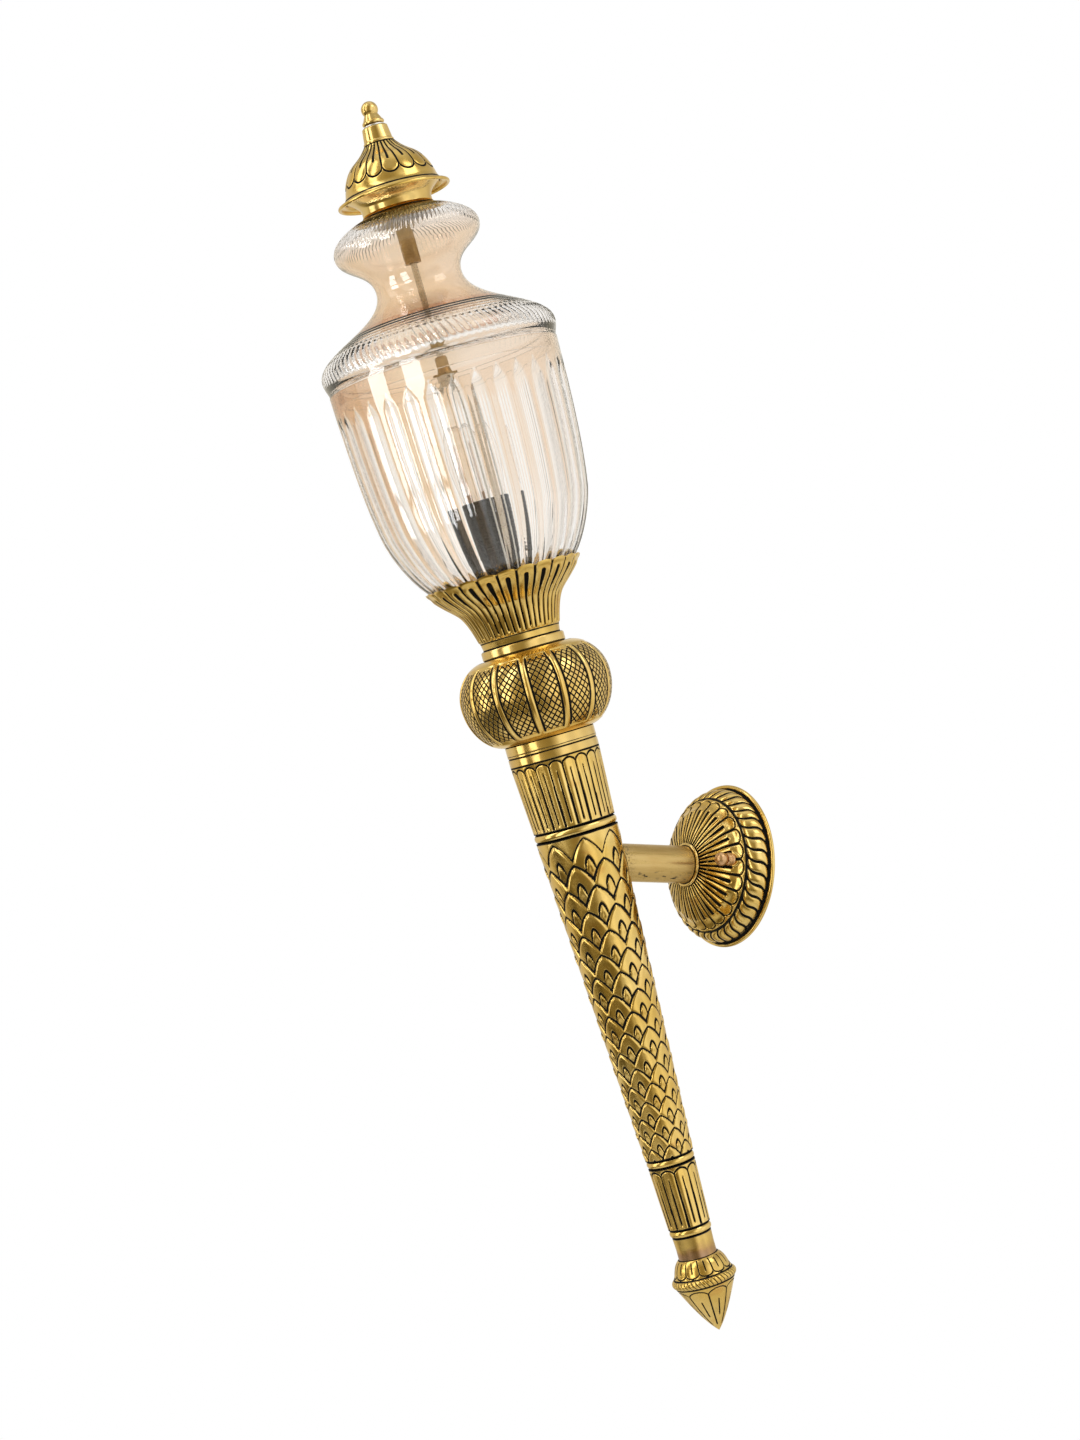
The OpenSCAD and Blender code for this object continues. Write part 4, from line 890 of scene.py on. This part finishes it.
lid_side = path(
    bends(
        [69.9, SEAM_Z],
        ([70, SEAM_Z + 3], [SHOULDER_R, SEAM_Z + 6], [SHOULDER_R, SEAM_Z + 10]),
        ([SHOULDER_R, SEAM_Z + 25.8], [WAIST_R, LID_TOP - 64.1], [WAIST_R, LID_TOP - 43.5]),
        ([WAIST_R, LID_TOP - 29.2], [BULGE_R, LID_TOP - 28.9], [BULGE_R, LID_TOP - 17.3]),
        ([BULGE_R, LID_TOP - 10.5], [36.8, LID_TOP - 5], [23.3, LID_TOP - 0.5]),
    ),
    [21.8, LID_TOP],
)
lid_ring_s = Side(lid_side).length_at(SEAM_Z + 22.6)
lid_inner = wall(lid_side, GLASS, SEAM_Z + 6, LID_TOP - GLASS)
lid_back = path(
    bore(LID_TOP - GLASS, LID_TOP, 5.3), [16.8, LID_TOP - GLASS], lid_inner,
    bore(SEAM_Z - SPIGOT_DROP, SEAM_Z + 2, SPIGOT_IN_R), bore(SEAM_Z - SPIGOT_DROP, SEAM_Z, SPIGOT_R)[::-1],
)
# rows lie closest on the turned rings, and a little closer on the reeds
lid_fine = [(lid_ring_s - 1, lid_ring_s + 18.5, 3.2), (9, 28, 1.3)]
turned("lid_cut", "glass_lid", lid_side, lid_back, 480, 148, lid_relief,
       "amber", "lid", "amber_glass", back_rows=50, fine=lid_fine)

# cup and stem
cup_side = path(
    [24, CUP_Z],
    bends(
        [CUP_NECK_R, CUP_Z + 4.15],
        ([26.4, CUP_Z + 11.2], [28.5, CUP_Z + 19.1], [32.0, CUP_TOP - 17.85]),
        ([35.5, CUP_TOP - 13.7], [44.4, CUP_TOP - 7.05], [48, CUP_TOP]),
    ),
)
cup_length = Side(cup_side).length
cup_inner = wall(cup_side, 1.6, CUP_Z + 4.6, CUP_TOP - 1)
cup_back = path([46.2, CUP_TOP], cup_inner, [22.8, CUP_Z + 4.5], bore(CUP_Z, CUP_Z + 4.5))
turned("petal_cup_relief", "petal_cup", cup_side, cup_back, 576, 124, cup_relief,
       trim=cup_trim, back_rows=40)

for piece, outer, low, height, seed in (
    ("upper_bead", 25.5, SHAFT_TOP, 5.7, 21),
    ("lower_bead", 14.8, LOW_BEAD_Z, 5.0, 22),
    ("tail_bead", 13.0, TAIL_BEAD_Z, 5.3, 23),
):
    round_side = arc([outer - height / 2, low + height / 2], height / 2, -90, 90, 24)
    turned(piece + "_cast", piece, round_side, bore(low, low + height), 192, 30, bead_relief(seed))

ring_side = path([24.4, 0], [25.4, 0.5], [RING_R, 1.2], [RING_R, 4.9], [25.4, 5.6], [24.4, 6.1]) + [0, RING_Z]
turned("cup_ring_turned", "cup_ring", ring_side, bore(RING_Z, RING_Z + 6.1), 192, 30,
       plain_band(1.2, 0.95, 0.04, 24), "bright")

knop_side = bends(
    [27.8, KNOP_Z],
    ([38, KNOP_Z + 2.2], [KNOP_R, KNOP_Z + 14.2], [KNOP_R, KNOP_Z + 28.93]),
    ([KNOP_R, KNOP_Z + 40.5], [39, RING_Z - 2.4], [28.6, RING_Z]),
)
knop_length = Side(knop_side).length
knop_inner = wall(knop_side, 3, KNOP_Z + 3.5, RING_Z - 3.5)
knop_back = path(bore(RING_Z - 3, RING_Z, 22), knop_inner, bore(KNOP_Z, KNOP_Z + 3, 22))
KNOP_COLS, KNOP_ROWS = 448, 170
knop = turned("knop_hatched", "knop", knop_side, knop_back, KNOP_COLS, KNOP_ROWS, knop_relief,
              "hatched", back_rows=44)


def unwrap_knop(me):
    """Places for the hatching: mm from the panel's middle, and mm along the outline."""
    at = np.empty(len(me.loops), np.int32)
    me.loops.foreach_get("vertex_index", at)
    first = (np.arange(len(at)) // 4) % KNOP_COLS
    theta = (first + (at % KNOP_COLS - first) % KNOP_COLS) * TAU / KNOP_COLS
    middle = (first + 0.5) * TAU / KNOP_COLS
    across = cell(middle, KNOP_RIBS, KNOP_TURN + 180 / KNOP_RIBS)
    across = across + (theta - middle) * KNOP_RIBS / TAU
    side = Side(knop_side)
    s = np.interp(at // KNOP_COLS, np.arange(KNOP_ROWS), side.rows(KNOP_ROWS))
    flat = np.stack([across * TAU * side.at(s)[0] / KNOP_RIBS, s], -1)
    me.uv_layers.new(name="panel").data.foreach_set("uv", flat.astype(np.float32).ravel())


unwrap_knop(knop.data)

collar_side = path(
    [27.0, 0], [COLLAR_R, 0.5], [COLLAR_R, 4.9], arc([COLLAR_R, 5.4], 0.5, 270, 90, 8),
    [COLLAR_R, 5.9], [COLLAR_R, 12.3], [27.0, 12.8],
) + [0, COLLAR_Z]
turned("stem_collar_turned", "stem_collar", collar_side, bore(COLLAR_Z, COLLAR_Z + 12.8), 192, 60,
       collar_relief, "bright", slot="polished_brass")

top_petals = band_relief(TOP_PETALS, TOP_BAND_TURN, TOP_BAND_Z, COLLAR_Z, 0.04)
turned("upper_band_relief", "upper_band", path([25.0, TOP_BAND_Z], [27.4, COLLAR_Z]),
       bore(TOP_BAND_Z, COLLAR_Z, 22.1), 480, 120, top_petals)

shaft = path([14.95, SHAFT_Z], [25.35, SHAFT_TOP])
shaft_back = path([21.0, SHAFT_TOP], [10.8, SHAFT_Z + 6], bore(SHAFT_Z, SHAFT_Z + 6))
turned("scale_shaft_relief", "scale_shaft", shaft, shaft_back, 288, 326, scale_relief)

low_petals = band_relief(LOW_PETALS, LOW_BAND_TURN, LOW_BAND_Z, LOW_BEAD_Z, 0.05)
turned("lower_band_relief", "lower_band", path([12.9, LOW_BAND_Z], [14.4, LOW_BEAD_Z]),
       bore(LOW_BAND_Z, LOW_BEAD_Z), 280, 110, low_petals)

neck_side = path([11.8, NECK_Z], [11.75, NECK_Z + 6], [12.1, TAIL_BEAD_Z])
turned("tail_neck_heated", "tail_neck", neck_side, bore(NECK_Z, TAIL_BEAD_Z), 160, 40,
       neck_relief, "heated", slot="heated_brass")

tail_side = path(
    bends([0.1, TAIL_Z], ([7.9, TAIL_Z + 8], [15.04, TAIL_Z + 23.5], [18.2, ROPE_Z - 3])),
    arc([ROPE_R, ROPE_Z], 2.7, -66, 66, 16),
    bends([18.1, ROPE_Z + 3], ([16.2, ROPE_Z + 5.5], [16.6, NECK_Z - 3], [11.8, NECK_Z])),
)
tail_back = path(bore(TUBE_BOTTOM, NECK_Z), [0.1, TUBE_BOTTOM])
turned("tail_finial_relief", "tail_finial", tail_side, tail_back, 528, 150, tail_relief, ends=True)

# lampholder skirt
skirt_side = path([18.3, SKIRT_Z], [SKIRT_R, SKIRT_Z + 0.4], [SKIRT_R, SKIRT_TOP - 0.6], [18.3, SKIRT_TOP])
turned("holder_skirt_threads", "holder_skirt", skirt_side, bore(SKIRT_Z, SKIRT_TOP, 16.5), 144, 130,
       skirt_relief, "black", slot="black_plastic")

# back plate, drawn along +Z out of the wall
plate_rim = path([PLATE_R, 0], arc([48.7, 1.3], 1.3, -60, 100, 14), [47.4, 2.2])
plate_side = path(plate_rim, curve([47.4, 2.2], [48.4, 7], [44.4, 15.0], [41, 15.5]))
plate_whole = path(plate_side, curve([41, 15.5], [37, 20.5], [28.7, 24.6], [19.68, 28.2]), [13, 30])
rope_start, dome_start = float(Side(plate_rim).length), float(Side(plate_side).length)
dome_length = Side(plate_whole).length - dome_start
plate_inner = wall(plate_whole, 2.5, 2.6, 27.4)
plate_back = path(bore(27.5, 30, ARM_R), [18, 27.5], plate_inner, [plate_inner[-1][0], 0])
turned("back_plate_relief", "back_plate", plate_whole, plate_back, 480, 150, plate_relief,
       place=on_wall, back_rows=50)

arm_ring = path([ARM_R, 30], arc([ARM_R + 1, 31], 1.0, -90, 90, 16), [ARM_R, 32])
turned("arm_collar_turned", "arm_collar", arm_ring, bore(30.1, 31.9, ARM_R), 128, 24,
       plain_band(0.9, 0.95), "bright", place=on_wall)

# CAD pieces that keep their own shape
LOOK = {
    "bright": "finial_ball",
    "washer": "finial_washer",
    "machined": "seat_nut bowl_seat holder_shell holder_nut seat_spacer stem_tube arm_nut earth_screw",
    "copper": "ball_nuts",
    "aged": "lid_nipple lid_nut claw_washer rod_nut",
    "raw": "arm_tube",
    "steel": "tie_rod harp harp_saddle rod_locknut bulb_cap wall_bracket studs",
    "felt": "lid_washer bowl_gasket",
    "clear": "bulb_globe",
    "filament": "bulb_filament",
    "black": "holder_cap",
    "pale": "holder_contact terminal_block",
    "cable": "lamp_lead",
}
for mat, names in LOOK.items():
    for name in names.split():
        cover(nodes[name], mat)

# ---- floor, world, lamps, camera ----

FACING = -33.9  # bearing of the camera from the torch, in degrees
FLOOR_Z, FLOOR_R, FLOOR_Y = -0.5, 0.6, -0.1  # in metres, as all that follows
AIM = (0, -0.13, 0.1)  # where the lamps point

# Brightness of the room by bearing from the camera's side, in degrees, at eye level and low down
LEVEL_ROOM = [
    (-180, 0.75), (-150, 0.68), (-118, 0.72), (-108, 0.66), (-98, 0.28), (-66, 0.24), (-58, 0.36),
    (-36, 0.56), (-24, 0.40), (-10, 0.34), (2, 0.30), (13, 0.58), (24, 1.15), (37, 1.2), (47, 0.95),
    (60, 0.9), (70, 1.1), (84, 0.95), (98, 0.84), (120, 0.80), (140, 0.62), (160, 0.75), (180, 0.80),
]
LOW_ROOM = [
    (-180, 0.45), (-150, 0.26), (-135, 0.30), (-113, 0.15), (-75, 0.10), (-60, 0.24), (-45, 0.20),
    (-8, 0.17), (16, 0.20), (28, 0.46), (40, 0.82), (62, 0.78), (100, 0.72), (120, 0.52), (135, 0.48),
    (160, 0.6), (180, 0.5),
]
# Colours of the room above and below, with the heights in degrees where they start and are full
ABOVE_AND_BELOW = [
    (24.0, 52.0, (0.50, 0.47, 0.40)), (58.0, 80.0, (0.85, 0.84, 0.80)), (-42.0, -70.0, (0.42, 0.36, 0.26)),
]
# The windows' edges by bearing, and the edges of their rows of panes by height
WINDOWS = [(-97.0, -77.0), (-57.0, -38.0)]
SILL_PANES, MIDDLE_PANES, TOP_PANES, LOWEST_PANES = (-22.0, -3.0), (1.0, 14.0), (18.0, 62.0), (-40.0, -24.0)
# Glass sees the windows a little further to the right and brighter than brass does
GLASS_SHIFT, WINDOW_BRIGHT, GLASS_BRIGHTER = 18.0, 2.0, 13.0


def floor(sides=96):
    """A small pale disc under the torch, which takes its shadow and fades out all round."""
    w = TAU * np.arange(sides) / sides
    v = np.stack([FLOOR_R * np.cos(w), FLOOR_Y + FLOOR_R * np.sin(w), np.full(sides, FLOOR_Z)], -1)
    me = bpy.data.meshes.new("floor")
    me.from_pydata(v.tolist(), [], [list(range(sides))])
    o = shown("floor", me)
    p = Paint("floor_pale", Roughness=1.0, Specular_IOR_Level=0.0)
    p.put(Base_Color=p.mix(p.span(p.noise(3.0), 0.3, 0.7), (0.93, 0.93, 0.925), (0.94, 0.94, 0.935)))
    clear = p.node("ShaderNodeBsdfTransparent")
    x, y, _ = p.parts(p.place())
    y = p.plus(y, -FLOOR_Y)
    d = p.math("SQRT", p.plus(p.times(x, x), p.times(y, y)))
    fade = p.span(d, 0.22, 0.55)
    mixed = p.node("ShaderNodeMixShader", i0=fade, i1=p.bsdf.outputs[0], i2=clear.outputs[0])
    out = next(n for n in p.t.nodes if n.type == "OUTPUT_MATERIAL")
    p.join(out.inputs[0], mixed.outputs[0])
    me.materials.append(p.mat)


def world():
    """White for the camera and through glass, an even grey for diffuse light, and for reflections
    a room by bearing: pale at the right, dim in front, two tall windows at the left."""
    w = bpy.data.worlds.new("studio")
    bpy.context.scene.world = w
    t = Tree(w)
    t.t.nodes.clear()
    x, y, z = t.parts(t.node("ShaderNodeTexCoord").outputs["Generated"])
    bearing = t.math("DEGREES", t.math("ARCTAN2", y, x))
    beta = t.math("WRAP", t.minus(bearing, FACING), 180.0, i2=-180.0)
    height = t.math("DEGREES", t.math("ARCSINE", z))

    def inside(v, low, high, edge=1.0):
        """1 between two angles, with soft edges."""
        off = t.math("ABSOLUTE", t.minus(v, (low + high) / 2))
        return t.span(t.minus((high - low) / 2, off), -edge, edge, smooth=True)

    def ramp(stops):
        """The room's colour by bearing: yellower where it is darker."""
        n = t.node("ShaderNodeValToRGB", i0=t.math("DIVIDE", t.plus(beta, 180.0), 360.0))
        e = n.color_ramp.elements
        while len(e) < len(stops):
            e.new(0.5)
        for k, (b, v) in enumerate(stops):
            pale = min(max((v - 0.35) / 0.55, 0), 1)
            e[k].position = (b + 180) / 360
            e[k].color = (v, v * (0.82 + 0.17 * pale), v * (0.40 + 0.57 * pale), 1)
        return n.outputs[0]

    level = ramp(LEVEL_ROOM)
    room = t.mix(t.span(height, -18.0, -30.0, smooth=True), level, ramp(LOW_ROOM))
    for start, full, colour in ABOVE_AND_BELOW:
        room = t.mix(t.span(height, start, full, smooth=True), room, colour)
    ray = t.node("ShaderNodeLightPath").outputs
    sharp = ray["Is Singular Ray"]  # glass, as its surface is perfectly smooth
    seen = t.minus(beta, t.times(sharp, GLASS_SHIFT))
    columns = t.plus(*(inside(seen, *edges) for edges in WINDOWS))
    rows = t.plus(inside(height, *SILL_PANES), t.times(sharp, inside(height, *LOWEST_PANES)))
    rows = t.plus(rows, inside(height, *MIDDLE_PANES))
    rows = t.plus(rows, t.times(t.minus(1.0, sharp), inside(height, *TOP_PANES)))
    panes = t.times(t.times(columns, rows), t.plus(WINDOW_BRIGHT, t.times(sharp, GLASS_BRIGHTER)))

    def light(colour, strength):
        return t.node("ShaderNodeBackground", Color=colour, Strength=strength).outputs[0]

    def choose(fac, a, b):
        return t.node("ShaderNodeMixShader", i0=fac, i1=a, i2=b).outputs[0]

    glossy = t.node("ShaderNodeAddShader", i0=light(room, 1.0), i1=light((1, 1, 1), panes)).outputs[0]
    lit = choose(ray["Is Diffuse Ray"], glossy, light((1, 1, 1), 0.62))
    see = t.math("MAXIMUM", ray["Is Camera Ray"], ray["Is Transmission Ray"])
    t.node("ShaderNodeOutputWorld", Surface=choose(see, lit, light((1, 1, 1), 1.0)))


def lamp(name, place, extent, power):
    """A rectangular lamp that points at AIM."""
    d = bpy.data.lights.new(name, "AREA")
    d.shape = "RECTANGLE"
    d.size, d.size_y = extent
    d.energy = power
    o = shown(name, d)
    o.location = place
    o.rotation_euler = (Vector(AIM) - Vector(place)).to_track_quat("-Z", "Y").to_euler()


def camera():
    """Looks up a little at the torch from the front left of the wall, as the photograph does."""
    az, el, roll, distance = radians(56.96), radians(-8.77), radians(-1.8147), 1.670
    target = Vector((0, -0.1338, 0.0837))
    back = Vector((sin(az) * cos(el), -cos(az) * cos(el), sin(el)))
    right = Vector((cos(az), sin(az), 0))
    up = right.cross(-back)
    r2 = right * cos(roll) + up * sin(roll)
    u2 = up * cos(roll) - right * sin(roll)
    d = bpy.data.cameras.new("camera")
    d.lens, d.sensor_width, d.sensor_height, d.sensor_fit = 70, 36, 36, "VERTICAL"
    d.clip_start, d.clip_end = 0.05, 50
    o = shown("camera", d)
    turn = Matrix((r2, u2, back)).transposed().to_4x4()
    o.matrix_world = Matrix.Translation(target + back * distance) @ turn
    bpy.context.scene.camera = o


floor()
world()
lamp("key", (1.3, 0.2, 1.6), (0.9, 0.9), 5.0)
lamp("fill", (-0.9, -1.9, 0.9), (0.9, 1.2), 1.5)
camera()
bpy.context.scene.view_settings.view_transform = "Standard"
